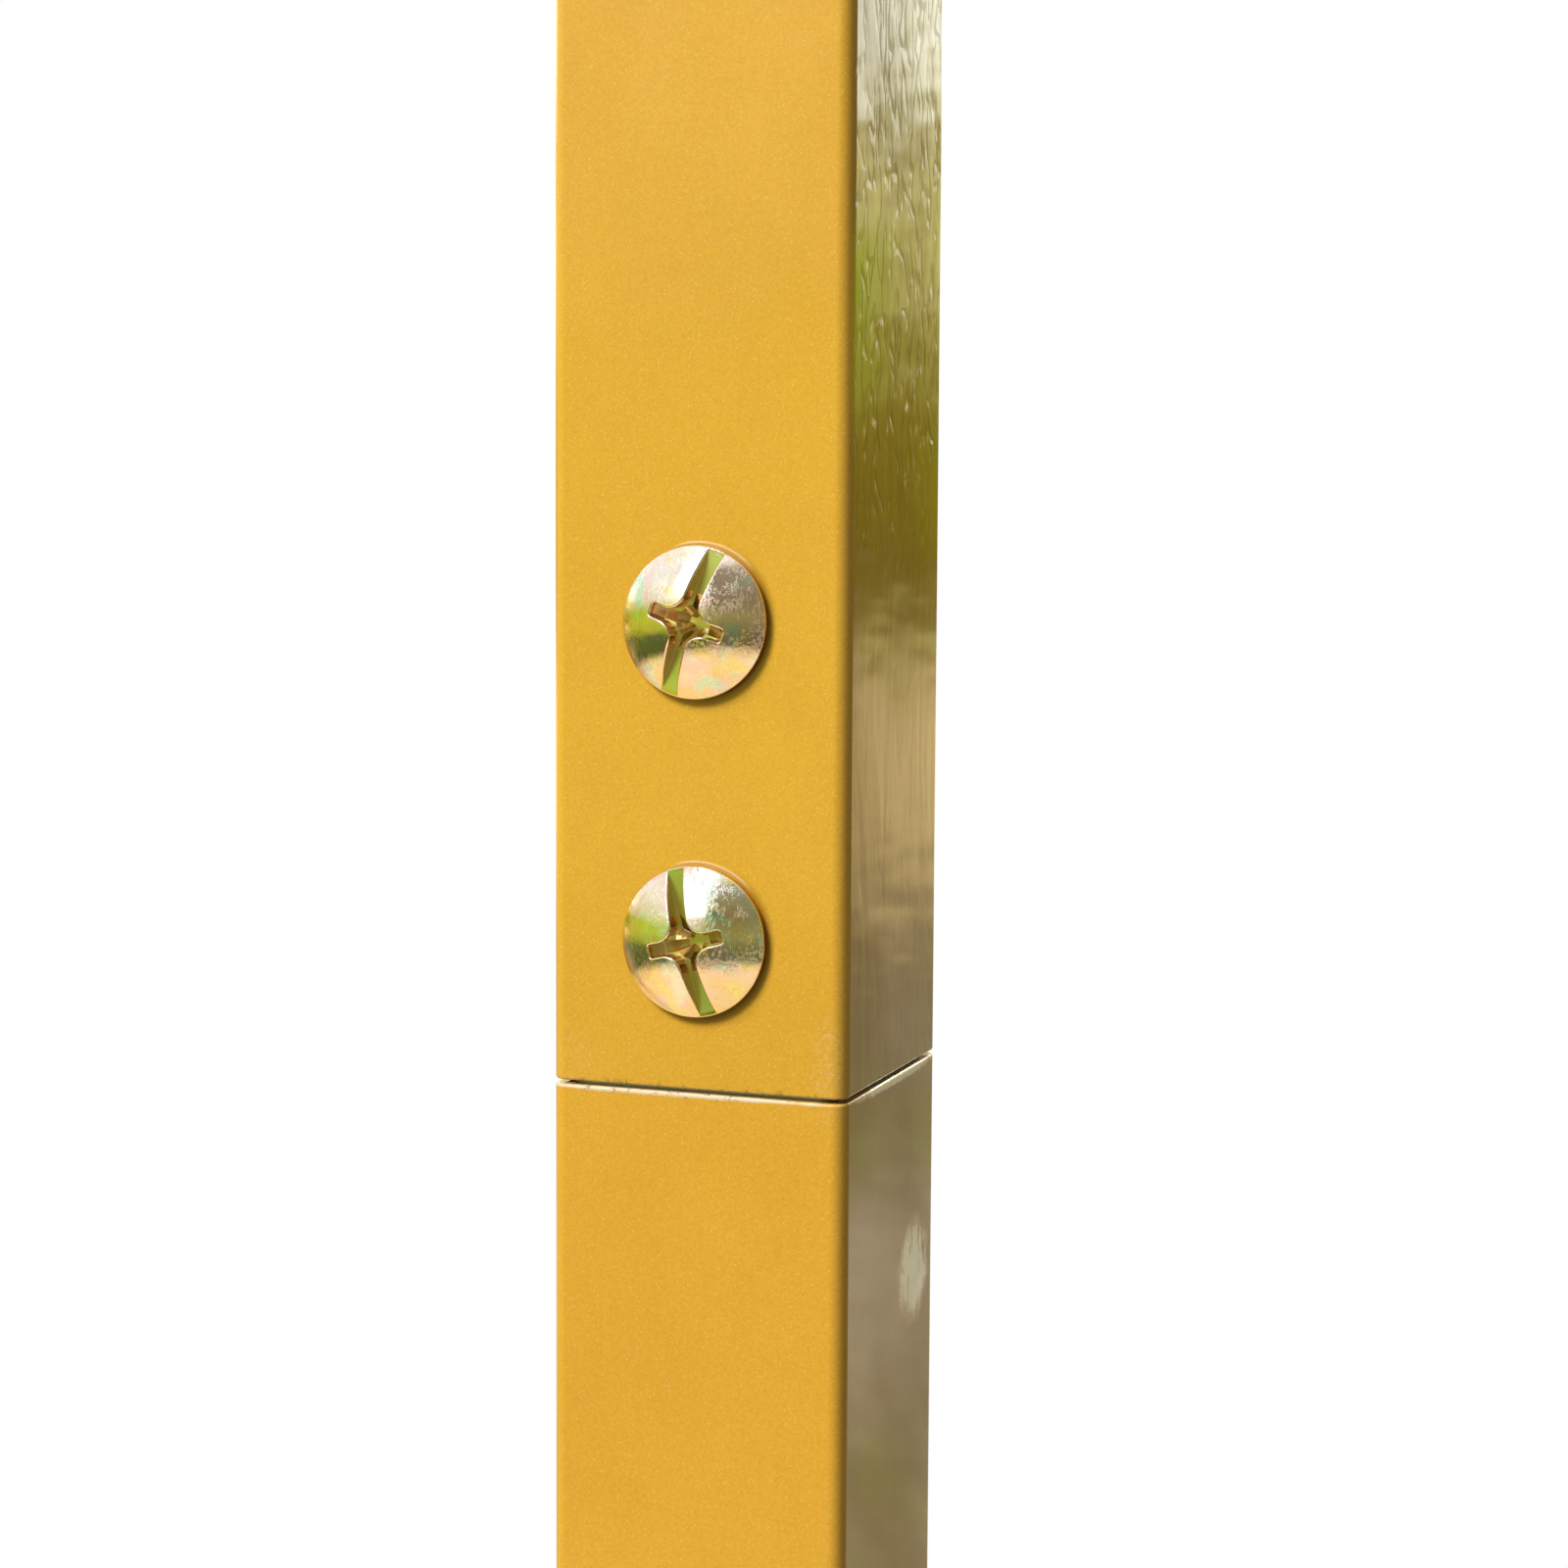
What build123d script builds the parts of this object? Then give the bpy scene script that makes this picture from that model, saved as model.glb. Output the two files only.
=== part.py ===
from build123d import *

import os
from math import sqrt

# A two-piece signpost: a square steel post that comes in two lengths, joined by an inner sleeve and two
# screws. A base plate with four gussets carries the lower post. The sleeve is plug-welded inside its top
# end, the upper post slips over the sleeve, and two combination-drive truss screws clamp it into weld
# nuts. A flat sign is bolted through the top of the upper post. Millimetres, +Z up, the sign faces -Y,
# and the origin is on the ground under the middle of the base plate.

# ---- driving dimensions: posts and splice -------------------------------------------------------------
POST = 38.0                    # outside of the square post
WALL = 1.5
POST_CORNER = 1.8              # outside corner radius of the tubes
BORE_CORNER = 0.4
CUT_EDGE = 0.35                # roundness that the coating leaves on a sawn tube end
LOWER_LENGTH = 750.0
UPPER_LENGTH = 850.0
SEAM_GAP = 0.5                 # open line between the two lengths

SLEEVE_GAP = 0.2               # slip clearance on each side, between sleeve and post
SLEEVE_WALL = 2.0
SLEEVE_CORNER = 2.2
SLEEVE_BELOW = 120.0           # length inside the lower post
SLEEVE_ABOVE = 85.0            # length inside the upper post
PLUG_WELD_R = 5.0
PLUG_WELD_CROWN = 0.3
PLUG_WELD_DROPS = {"upper": 30.0, "lower": 90.0}      # below the seam, on the rear face

SPLICE_SCREW_RISES = {"lower": 18.0, "upper": 56.0}   # above the upper post's foot
SPLICE_SLOT_TURNS = {"lower": 14.0, "upper": -20.0}   # slot off vertical, anticlockwise from the front
SPLICE_SCREW_LENGTH = 16.0
SPLICE_NECK = 1.5              # plain length under the head

# ---- driving dimensions: base -------------------------------------------------------------------------
BASE = 180.0
BASE_THICK = 6.0
BASE_CORNER = 12.0
BASE_CHAMFER = 0.6
ANCHOR_SPACING = 140.0
ANCHOR_R = 6.0
GUSSET_TURNS = {"right": 0, "rear": 90, "left": 180, "front": 270}
GUSSET_RUN = 46.0              # along the plate
GUSSET_RISE = 80.0             # up the post
GUSSET_THICK = 5.0
GUSSET_TOE = 8.0               # blunt end on each leg
GUSSET_SNIPE = 9.0             # cut corner that clears the post's own weld
POST_WELD = 5.0                # leg of the fillet weld around the post
POST_WELD_LIP = 0.3            # thickness that the weld keeps at its upper toe
GUSSET_WELD = 3.0              # leg of the fillet welds beside the gussets
GUSSET_WELD_STOP = 1.0         # a weld ends this far short of the gusset's edge

# ---- driving dimensions: sign -------------------------------------------------------------------------
SIGN_WIDTH = 300.0
SIGN_HEIGHT = 450.0
SIGN_THICK = 2.0
SIGN_CORNER = 38.0
SIGN_BELOW_TOP = 16.0          # post end above the sign's top edge
SIGN_HOLE_INSET = 35.0         # screw centre from the sign's top or bottom edge
SHEETING_THICK = 0.4
SHEETING_INSET = 0.6
FILM_THICK = 0.25
BORDER_INSET = 9.0
BORDER_WIDTH = 8.0
ARROW_HEIGHT = 230.0
ARROW_HEAD_WIDTH = 150.0
ARROW_HEAD_HEIGHT = 105.0
ARROW_STEM_WIDTH = 52.0
ARROW_NOTCH = 18.0             # how far the head's shoulders sweep back below its root
ARROW_ROUND = 2.5
SIGN_SLOT_TURNS = {"lower": 41.0, "upper": -63.0}
SIGN_SCREW_LENGTH = 56.0
SIGN_THREAD = 26.0

# ---- driving dimensions: fasteners --------------------------------------------------------------------
THREAD_R = 3.95                # M8 thread, outside
THREAD_ROOT_R = 3.3
THREAD_PITCH = 1.25
THREAD_CREST = THREAD_PITCH / 8
NECK_R = 3.55
NECK_RUNOUT = 0.3
SCREW_POINT = 0.9              # height of the chamfered end
SCREW_POINT_R = 2.7
CLEAR_R = 4.4                  # clearance hole for an M8 screw
NUT_BORE_R = 4.0

HEAD_R = 9.1                   # truss head
HEAD_HEIGHT = 4.3
HEAD_RIM = 0.95
HEAD_RIM_ROUND = 0.3
SLOT_WIDTH = 1.95
SLOT_DEPTH = 3.2               # from the crown, so that its floor runs out at the rim
WING_SPAN = 9.4                # across the two wings of the cross that leave the slot
WING_WIDTH = 1.6
WING_TIP_ROUND = 0.3
WING_TIP_DEPTH = 1.9           # from the crown to the high end of each wing's sloping floor
LAND_ROUND = 2.1               # rounded corner of each land, between slot and wing
LAND_ROLL = 0.22               # rolled edge of the slot and the wings
CROSS_WING = 1.4               # width of the cross at the slot's floor
CROSS_DEPTH = 5.6              # from the crown
CROSS_FLOOR_SPAN = 2.6
CROSS_FLOOR_WING = 0.7
CROSS_ROUND = 0.4
HOLLOW_R = 2.08                # round hollow in the middle of the cross, at the slot's floor
HOLLOW_FLOOR_R = 0.7

NYLON_WASHER_R = 11.0
NYLON_WASHER_THICK = 1.0
NYLON_WASHER_ROUND = 0.3
STEEL_WASHER_R = 8.0
STEEL_WASHER_THICK = 1.6
STEEL_WASHER_ROUND = 0.25
NUT_FLATS = 13.0
NUT_CHAMFER = 0.45
LOCK_NUT_HEX = 5.6
LOCK_NUT_HEIGHT = 8.2
LOCK_COLLAR_R = 5.9
LOCK_COLLAR_ROUND = 1.0
LOCK_RING_R = 5.0
LOCK_RING_HEIGHT = 2.0
LOCK_RING_SEAT = 5.5           # the ring's underside above the nut's seat
LOCK_MOUTH_R = 4.45
WELD_NUT_WIDTH = 14.0
WELD_NUT_CORNER = 1.0
WELD_NUT_THICK = 6.5
WELD_NUT_CHAMFER = 0.5

# ---- driving dimensions: cap --------------------------------------------------------------------------
CAP_CROWN = 7.0
CAP_EDGE = 2.4
CAP_PLUG_DEPTH = 20.0
CAP_PLUG_WALL = 2.0
CAP_PLUG_CORNER = 1.2
CAP_FIT = 0.25                 # gap between the plug and the tube
CAP_RIB_DROPS = (3.8, 8.8, 13.8)
CAP_RIB_THICK = 1.2
CAP_RIB_STANDS = 0.1           # how far a rib stands out of the plug

# ---- levels and faces worked out from them ------------------------------------------------------------
TINY = 1e-4
HALF = POST / 2
BORE = POST - 2 * WALL
SEAM = BASE_THICK + LOWER_LENGTH
UPPER_FOOT = SEAM + SEAM_GAP
POST_TOP = UPPER_FOOT + UPPER_LENGTH
SIGN_TOP = POST_TOP - SIGN_BELOW_TOP
SIGN_MIDDLE = SIGN_TOP - SIGN_HEIGHT / 2
SIGN_SCREW_LEVELS = {
    "lower": SIGN_TOP - SIGN_HEIGHT + SIGN_HOLE_INSET,
    "upper": SIGN_TOP - SIGN_HOLE_INSET,
}
SPLICE_SCREW_LEVELS = {place: UPPER_FOOT + rise for place, rise in SPLICE_SCREW_RISES.items()}
FRONT = -HALF                  # the post's front face
REAR = HALF
PANEL_FRONT = FRONT - SIGN_THICK
SHEETING_FRONT = PANEL_FRONT - SHEETING_THICK
FILM_FRONT = SHEETING_FRONT - FILM_THICK
SIGN_HEAD_SEAT = SHEETING_FRONT - NYLON_WASHER_THICK
SLEEVE_REACH = FRONT + WALL + SLEEVE_GAP + SLEEVE_WALL   # inside of the sleeve's front wall
DOME_RISE = HEAD_HEIGHT - HEAD_RIM
DOME_R = (HEAD_R**2 + DOME_RISE**2) / (2 * DOME_RISE)    # radius of the sphere behind the truss dome
DOME_CENTRE = HEAD_HEIGHT - DOME_R


# ---- small helpers ------------------------------------------------------------------------------------
def disc(radius, thick):
    """A cylinder that stands on z = 0."""
    return Cylinder(radius, thick, align=(Align.CENTER, Align.CENTER, Align.MIN))


def circles(shape, radius):
    """The round edges of one radius."""
    rounds = shape.edges().filter_by(GeomType.CIRCLE)
    return [edge for edge in rounds if abs(edge.radius - radius) < TINY]


def square_ring(size, corner, wall, inner_corner):
    """The section of a square tube."""
    inner = size - 2 * wall
    return RectangleRounded(size, size, corner) - RectangleRounded(inner, inner, inner_corner)


def facing_front(shape, seat, level):
    """Turns a piece that was made along +Z so that its +Z points to -Y, with its z = 0 at y = seat."""
    return Pos(0, seat, level) * Rot(90, 0, 0) * shape


def facing_rear(shape, seat, level):
    """Turns a piece that was made along +Z so that its +Z points to +Y, with its z = 0 at y = seat."""
    return Pos(0, seat, level) * Rot(-90, 0, 0) * shape


def hole_along_y(radius, level, near, far):
    """A round cutter from y = near to y = far, on the post's middle line."""
    return facing_rear(disc(radius, far - near), near, level)


# ---- base ---------------------------------------------------------------------------------------------
def base_plate():
    plate = extrude(RectangleRounded(BASE, BASE, BASE_CORNER), BASE_THICK)
    plate = chamfer(plate.edges().filter_by_position(Axis.Z, BASE_THICK, BASE_THICK), BASE_CHAMFER)
    for anchor in GridLocations(ANCHOR_SPACING, ANCHOR_SPACING, 2, 2):
        plate -= anchor * disc(ANCHOR_R, BASE_THICK)
    return plate


def post_weld():
    """Fillet weld that runs around the foot of the post, as one ring."""
    toe = POST + 2 * POST_WELD
    top = POST + 2 * POST_WELD_LIP
    low = RectangleRounded(toe, toe, POST_CORNER + POST_WELD)
    high = Pos(0, 0, POST_WELD) * RectangleRounded(top, top, POST_CORNER + POST_WELD_LIP)
    bead = loft([low, high]) - extrude(RectangleRounded(POST, POST, POST_CORNER), POST_WELD)
    return Pos(0, 0, BASE_THICK) * bead


def gusset(turn):
    """A triangular stiffener with blunt toes and a snipe, on the side of the post that turn points to."""
    outline = Polyline(
        (HALF + GUSSET_SNIPE, 0),
        (HALF + GUSSET_RUN, 0),
        (HALF + GUSSET_RUN, GUSSET_TOE),
        (HALF + GUSSET_TOE, GUSSET_RISE),
        (HALF, GUSSET_RISE),
        (HALF, GUSSET_SNIPE),
        close=True,
    )
    blade = extrude(Plane.XZ * make_face(outline), GUSSET_THICK / 2, both=True)
    return Pos(0, 0, BASE_THICK) * Rot(0, 0, turn) * blade


def gusset_welds(turn):
    """The four fillet welds of one gusset: two along the plate and two up the post."""
    side = GUSSET_THICK / 2
    outer = side + GUSSET_WELD
    start = GUSSET_SNIPE + GUSSET_WELD_STOP
    on_plate = make_face(Polyline((side, 0), (outer, 0), (side, GUSSET_WELD), close=True))
    along = extrude(Plane.YZ.offset(HALF + start) * on_plate, GUSSET_RUN - GUSSET_WELD_STOP - start)
    on_post = make_face(Polyline((HALF, side), (HALF + GUSSET_WELD, side), (HALF, outer), close=True))
    up = Pos(0, 0, start) * extrude(on_post, GUSSET_RISE - GUSSET_WELD_STOP - start)
    one_side = along + up
    return Pos(0, 0, BASE_THICK) * Rot(0, 0, turn) * (one_side + mirror(one_side, about=Plane.XZ))


# ---- posts and splice ---------------------------------------------------------------------------------
def post_tube(foot, top):
    """One length of the post's square tube."""
    return extrude(Plane.XY.offset(foot) * square_ring(POST, POST_CORNER, WALL, BORE_CORNER), top - foot)


def soften_end(tube, level):
    """Rounds the outer outline at one end of a post tube."""
    outline = []
    for edge in tube.edges().filter_by_position(Axis.Z, level, level):
        middle = edge @ 0.5
        if max(abs(middle.X), abs(middle.Y)) > HALF - POST_CORNER / 2:
            outline.append(edge)
    return fillet(outline, CUT_EDGE)


def lower_post():
    tube = soften_end(post_tube(BASE_THICK, SEAM), SEAM)
    for drop in PLUG_WELD_DROPS.values():
        tube -= hole_along_y(PLUG_WELD_R, SEAM - drop, REAR - 2 * WALL, REAR + WALL)
    return tube


def upper_post():
    tube = post_tube(UPPER_FOOT, POST_TOP)
    tube = soften_end(soften_end(tube, UPPER_FOOT), POST_TOP)
    for level in SPLICE_SCREW_LEVELS.values():
        tube -= hole_along_y(CLEAR_R, level, FRONT - WALL, FRONT + 2 * WALL)
    for level in SIGN_SCREW_LEVELS.values():
        tube -= hole_along_y(CLEAR_R, level, FRONT - WALL, REAR + WALL)
    return tube


def splice_sleeve():
    size = BORE - 2 * SLEEVE_GAP
    section = square_ring(size, SLEEVE_CORNER, SLEEVE_WALL, BORE_CORNER)
    sleeve = extrude(Plane.XY.offset(SEAM - SLEEVE_BELOW) * section, SLEEVE_BELOW + SLEEVE_ABOVE)
    for level in SPLICE_SCREW_LEVELS.values():
        sleeve -= hole_along_y(CLEAR_R, level, FRONT, SLEEVE_REACH + SLEEVE_WALL)
    return sleeve


def plug_weld(drop):
    """Slightly crowned weld metal that fills one hole in the lower post's rear wall, down to the sleeve."""
    depth = WALL + SLEEVE_GAP
    sphere_r = (PLUG_WELD_R**2 + PLUG_WELD_CROWN**2) / (2 * PLUG_WELD_CROWN)
    ball = Pos(0, 0, depth + PLUG_WELD_CROWN - sphere_r) * Sphere(sphere_r)
    weld = disc(PLUG_WELD_R, depth + PLUG_WELD_CROWN) & ball
    return facing_rear(weld, REAR - depth, SEAM - drop)


def weld_nut(level):
    """Square nut welded behind the sleeve's front wall."""
    nut = extrude(RectangleRounded(WELD_NUT_WIDTH, WELD_NUT_WIDTH, WELD_NUT_CORNER), WELD_NUT_THICK)
    nut -= disc(NUT_BORE_R, WELD_NUT_THICK)
    nut = chamfer(circles(nut, NUT_BORE_R), WELD_NUT_CHAMFER)
    return facing_rear(nut, SLEEVE_REACH, level)


# ---- fasteners ----------------------------------------------------------------------------------------
def threaded_shank(length, threaded):
    """A shank that hangs below z = 0: a plain neck, then thread crests down to a pointed end."""
    crests = int((threaded - SCREW_POINT) / THREAD_PITCH)
    first = SCREW_POINT + crests * THREAD_PITCH - length
    outline = [(0, 0), (NECK_R, 0), (NECK_R, first + NECK_RUNOUT), (THREAD_ROOT_R, first)]
    for turn in range(crests):
        crest = first - (turn + 0.5) * THREAD_PITCH
        outline.append((THREAD_R, crest + THREAD_CREST / 2))
        outline.append((THREAD_R, crest - THREAD_CREST / 2))
        outline.append((THREAD_ROOT_R, crest - THREAD_PITCH / 2))
    outline += [(SCREW_POINT_R, -length), (0, -length)]
    return revolve(Plane.XZ * make_face(Polyline(*outline, close=True)), Axis.Z)


def truss_dome():
    """The low domed head, seat at z = 0, with a thin rounded rim."""
    middle_r = HEAD_R / 2
    middle = (middle_r, DOME_CENTRE + sqrt(DOME_R**2 - middle_r**2))
    dome = ThreePointArc((HEAD_R, HEAD_RIM), middle, (0, HEAD_HEIGHT))
    sides = Polyline((0, HEAD_HEIGHT), (0, 0), (HEAD_R, 0), (HEAD_R, HEAD_RIM))
    head = revolve(Plane.XZ * make_face(dome + sides), Axis.Z)
    rim = [edge for edge in circles(head, HEAD_R) if edge.center().Z > HEAD_RIM / 2]
    return fillet(rim, HEAD_RIM_ROUND)


def land_gaps():
    """What separates the four lands: the slot, right across the head, and the two wings that leave it."""
    gaps = Rectangle(SLOT_WIDTH, 3 * HEAD_R) + Rectangle(WING_SPAN, WING_WIDTH)
    roots = [v for v in gaps.vertices() if abs(v.X) < SLOT_WIDTH and abs(v.Y) < WING_WIDTH]
    gaps = fillet(roots, LAND_ROUND)
    tips = [v for v in gaps.vertices() if abs(abs(v.X) - WING_SPAN / 2) < TINY]
    gaps = fillet(tips, WING_TIP_ROUND)
    return Pos(0, 0, HEAD_HEIGHT - SLOT_DEPTH) * extrude(gaps, HEAD_HEIGHT)


def roll_land_edges(head):
    """Rounds the crown edges of the four lands, where the punch rolls the metal over."""
    rolled = []
    for edge in head.edges():
        points = [edge @ share for share in (0.1, 0.5, 0.9)]
        on_dome = all(abs((p - Vector(0, 0, DOME_CENTRE)).length - DOME_R) < 20 * TINY for p in points)
        inside = all(Vector(p.X, p.Y).length < HEAD_R - HEAD_RIM_ROUND for p in points)
        surface_join = all(abs(p.Y) < TINY for p in points)
        if on_dome and inside and not surface_join:
            rolled.append(edge)
    return fillet(rolled, LAND_ROLL)


def taper_half_span(depth):
    """Half the cross's span at a depth below the crown, from a wing's tip to the cross's floor."""
    share = (depth - WING_TIP_DEPTH) / (CROSS_DEPTH - WING_TIP_DEPTH)
    return WING_SPAN / 2 + share * (CROSS_FLOOR_SPAN - WING_SPAN) / 2


def wing_floors():
    """The sloping floors of the two wings, from their tips down to the slot's floor."""
    low = HEAD_HEIGHT - SLOT_DEPTH
    slope = Polyline(
        (taper_half_span(SLOT_DEPTH), low),
        (WING_SPAN / 2, low),
        (WING_SPAN / 2, HEAD_HEIGHT - WING_TIP_DEPTH),
        close=True,
    )
    wedge = extrude(Plane.XZ * make_face(slope), WING_WIDTH / 2, both=True) & land_gaps()
    return wedge + mirror(wedge, about=Plane.YZ)


def cross_section(span, wing):
    """A four-winged outline whose inner corners are rounded."""
    cross = Rectangle(span, wing) + Rectangle(wing, span)
    inner = [v for v in cross.vertices() if abs(v.X) < wing and abs(v.Y) < wing]
    return fillet(inner, CROSS_ROUND)


def cross_recess():
    """The tapered cross that a cross-point driver enters, below the slot's floor."""
    mouth_span = 2 * taper_half_span(SLOT_DEPTH)
    mouth = Pos(0, 0, HEAD_HEIGHT - SLOT_DEPTH) * cross_section(mouth_span, CROSS_WING)
    floor = Pos(0, 0, HEAD_HEIGHT - CROSS_DEPTH) * cross_section(CROSS_FLOOR_SPAN, CROSS_FLOOR_WING)
    deep = CROSS_DEPTH - SLOT_DEPTH
    hollow = Cone(HOLLOW_FLOOR_R, HOLLOW_R, deep, align=(Align.CENTER, Align.CENTER, Align.MIN))
    return loft([floor, mouth]) + Pos(0, 0, HEAD_HEIGHT - CROSS_DEPTH) * hollow


def truss_screw(length, threaded, slot_turn):
    """Combination-drive truss screw along +Z: slot and cross recess in the head, shank below the seat."""
    head = roll_land_edges(truss_dome() - land_gaps()) + wing_floors()
    screw = head + threaded_shank(length, threaded) - cross_recess()
    return Rot(0, 0, slot_turn) * screw


def washer(outer, thick, edge_round):
    ring = disc(outer, thick) - disc(CLEAR_R, thick)
    return fillet(circles(ring, outer), edge_round)


def hexagon(height):
    """A nut blank with its corners turned off at both ends."""
    corner_r = NUT_FLATS / sqrt(3)
    turned = disc(corner_r, height)
    turned = chamfer(circles(turned, corner_r), NUT_CHAMFER)
    return extrude(RegularPolygon(corner_r, 6), height) & turned


def lock_nut():
    """Nut with a round collar that holds the locking ring."""
    collar = disc(LOCK_COLLAR_R, LOCK_NUT_HEIGHT)
    crown = [edge for edge in circles(collar, LOCK_COLLAR_R) if edge.center().Z > LOCK_NUT_HEX]
    nut = hexagon(LOCK_NUT_HEX) + fillet(crown, LOCK_COLLAR_ROUND)
    nut -= disc(NUT_BORE_R, LOCK_NUT_HEIGHT)
    nut -= Pos(0, 0, LOCK_RING_SEAT) * disc(LOCK_RING_R, LOCK_RING_HEIGHT)
    return nut - Pos(0, 0, LOCK_RING_SEAT) * disc(LOCK_MOUTH_R, LOCK_NUT_HEIGHT)


def lock_ring():
    """The plastic ring that is held in the lock nut's collar and grips the thread."""
    ring = disc(LOCK_RING_R, LOCK_RING_HEIGHT) - disc(NUT_BORE_R, LOCK_RING_HEIGHT)
    return Pos(0, 0, LOCK_RING_SEAT) * ring


# ---- sign ---------------------------------------------------------------------------------------------
def sign_plane(front):
    """A plane on the sign's middle, at y = front, that faces the viewer of the sign."""
    return Plane(origin=(0, front, SIGN_MIDDLE), x_dir=(1, 0, 0), z_dir=(0, -1, 0))


def sign_outline(inset):
    """The sign's rounded rectangle, inset from its edge."""
    return RectangleRounded(SIGN_WIDTH - 2 * inset, SIGN_HEIGHT - 2 * inset, SIGN_CORNER - inset)


def sign_layer(inset, thick, front):
    """A drilled sheet that follows the sign's outline, with its front face at y = front."""
    layer = extrude(sign_plane(front) * sign_outline(inset), -thick)
    for level in SIGN_SCREW_LEVELS.values():
        layer -= hole_along_y(CLEAR_R, level, front, front + thick)
    return layer


def sign_border():
    """A narrow frame of film inside the sign's edge."""
    frame = sign_outline(BORDER_INSET) - sign_outline(BORDER_INSET + BORDER_WIDTH)
    return extrude(sign_plane(FILM_FRONT) * frame, -FILM_THICK)


def sign_arrow():
    """Straight-ahead arrow, cut from film: a stem and a head with swept shoulders."""
    tip = ARROW_HEIGHT / 2
    root = tip - ARROW_HEAD_HEIGHT
    right = [
        (ARROW_HEAD_WIDTH / 2, root - ARROW_NOTCH),
        (ARROW_STEM_WIDTH / 2, root),
        (ARROW_STEM_WIDTH / 2, -tip),
    ]
    left = [(-x, y) for x, y in reversed(right)]
    shape = make_face(Polyline((0, tip), *right, *left, close=True))
    shape = fillet(shape.vertices(), ARROW_ROUND)
    return extrude(sign_plane(FILM_FRONT) * shape, -FILM_THICK)


# ---- cap ----------------------------------------------------------------------------------------------
def post_cap():
    """Moulded cap: a crowned top as wide as the post, and a ribbed plug inside it."""
    crown = extrude(RectangleRounded(POST, POST, POST_CORNER), CAP_CROWN)
    crown = fillet(crown.edges().filter_by_position(Axis.Z, CAP_CROWN, CAP_CROWN), CAP_EDGE)
    size = BORE - 2 * CAP_FIT
    inner_corner = CAP_PLUG_CORNER / 2
    plug = square_ring(size, CAP_PLUG_CORNER, CAP_PLUG_WALL, inner_corner)
    cap = crown + Pos(0, 0, -CAP_PLUG_DEPTH) * extrude(plug, CAP_PLUG_DEPTH)
    rib = square_ring(size + 2 * CAP_RIB_STANDS, CAP_PLUG_CORNER, CAP_PLUG_WALL / 2, inner_corner)
    for drop in CAP_RIB_DROPS:
        cap += Pos(0, 0, -drop) * extrude(rib, -CAP_RIB_THICK)
    return Pos(0, 0, POST_TOP) * cap


# ---- the whole signpost -------------------------------------------------------------------------------
def base_parts():
    parts = {"base_plate": base_plate(), "base_post_weld": post_weld()}
    for side, turn in GUSSET_TURNS.items():
        parts[f"gusset_{side}"] = gusset(turn)
        parts[f"gusset_welds_{side}"] = gusset_welds(turn)
    return parts


def splice_parts():
    parts = {"lower_post": lower_post(), "splice_sleeve": splice_sleeve(), "upper_post": upper_post()}
    for place, drop in PLUG_WELD_DROPS.items():
        parts[f"plug_weld_{place}"] = plug_weld(drop)
    thread = SPLICE_SCREW_LENGTH - SPLICE_NECK
    for place, level in SPLICE_SCREW_LEVELS.items():
        screw = truss_screw(SPLICE_SCREW_LENGTH, thread, SPLICE_SLOT_TURNS[place])
        parts[f"splice_screw_{place}"] = facing_front(screw, FRONT, level)
        parts[f"splice_nut_{place}"] = weld_nut(level)
    return parts


def sign_parts():
    parts = {
        "sign_panel": sign_layer(0.0, SIGN_THICK, PANEL_FRONT),
        "sign_sheeting": sign_layer(SHEETING_INSET, SHEETING_THICK, SHEETING_FRONT),
        "sign_border": sign_border(),
        "sign_arrow": sign_arrow(),
    }
    nylon = washer(NYLON_WASHER_R, NYLON_WASHER_THICK, NYLON_WASHER_ROUND)
    steel = washer(STEEL_WASHER_R, STEEL_WASHER_THICK, STEEL_WASHER_ROUND)
    nut_seat = REAR + STEEL_WASHER_THICK
    for place, level in SIGN_SCREW_LEVELS.items():
        screw = truss_screw(SIGN_SCREW_LENGTH, SIGN_THREAD, SIGN_SLOT_TURNS[place])
        parts[f"sign_screw_{place}"] = facing_front(screw, SIGN_HEAD_SEAT, level)
        parts[f"sign_nylon_washer_{place}"] = facing_front(nylon, SHEETING_FRONT, level)
        parts[f"sign_steel_washer_{place}"] = facing_rear(steel, REAR, level)
        parts[f"sign_lock_nut_{place}"] = facing_rear(lock_nut(), nut_seat, level)
        parts[f"sign_lock_ring_{place}"] = facing_rear(lock_ring(), nut_seat, level)
    return parts


signpost = base_parts() | splice_parts() | {"post_cap": post_cap()} | sign_parts()
os.makedirs("parts", exist_ok=True)
for node, shape in signpost.items():
    export_step(shape, f"parts/{node}.step")
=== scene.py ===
from math import radians

import bmesh
import bpy
from mathutils import Matrix, Vector


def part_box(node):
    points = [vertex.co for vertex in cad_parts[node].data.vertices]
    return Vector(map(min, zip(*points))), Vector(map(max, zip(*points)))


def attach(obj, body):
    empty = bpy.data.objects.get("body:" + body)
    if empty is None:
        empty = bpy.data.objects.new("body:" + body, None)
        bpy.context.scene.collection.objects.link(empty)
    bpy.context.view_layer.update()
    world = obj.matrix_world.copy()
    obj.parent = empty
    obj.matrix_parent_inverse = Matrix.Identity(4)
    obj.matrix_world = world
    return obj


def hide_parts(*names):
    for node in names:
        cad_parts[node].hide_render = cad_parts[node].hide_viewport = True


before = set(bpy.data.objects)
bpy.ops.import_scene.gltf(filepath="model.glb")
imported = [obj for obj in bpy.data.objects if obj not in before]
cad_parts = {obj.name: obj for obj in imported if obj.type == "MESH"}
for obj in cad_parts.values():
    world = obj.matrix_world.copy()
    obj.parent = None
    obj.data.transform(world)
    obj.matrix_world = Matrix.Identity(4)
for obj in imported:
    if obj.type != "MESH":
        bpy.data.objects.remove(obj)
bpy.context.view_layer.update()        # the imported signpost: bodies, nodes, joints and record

# ---- places, read from the frame ----------------------------------------------------------------------
MM = 0.001
LOWER_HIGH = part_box("lower_post")[1]
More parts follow.
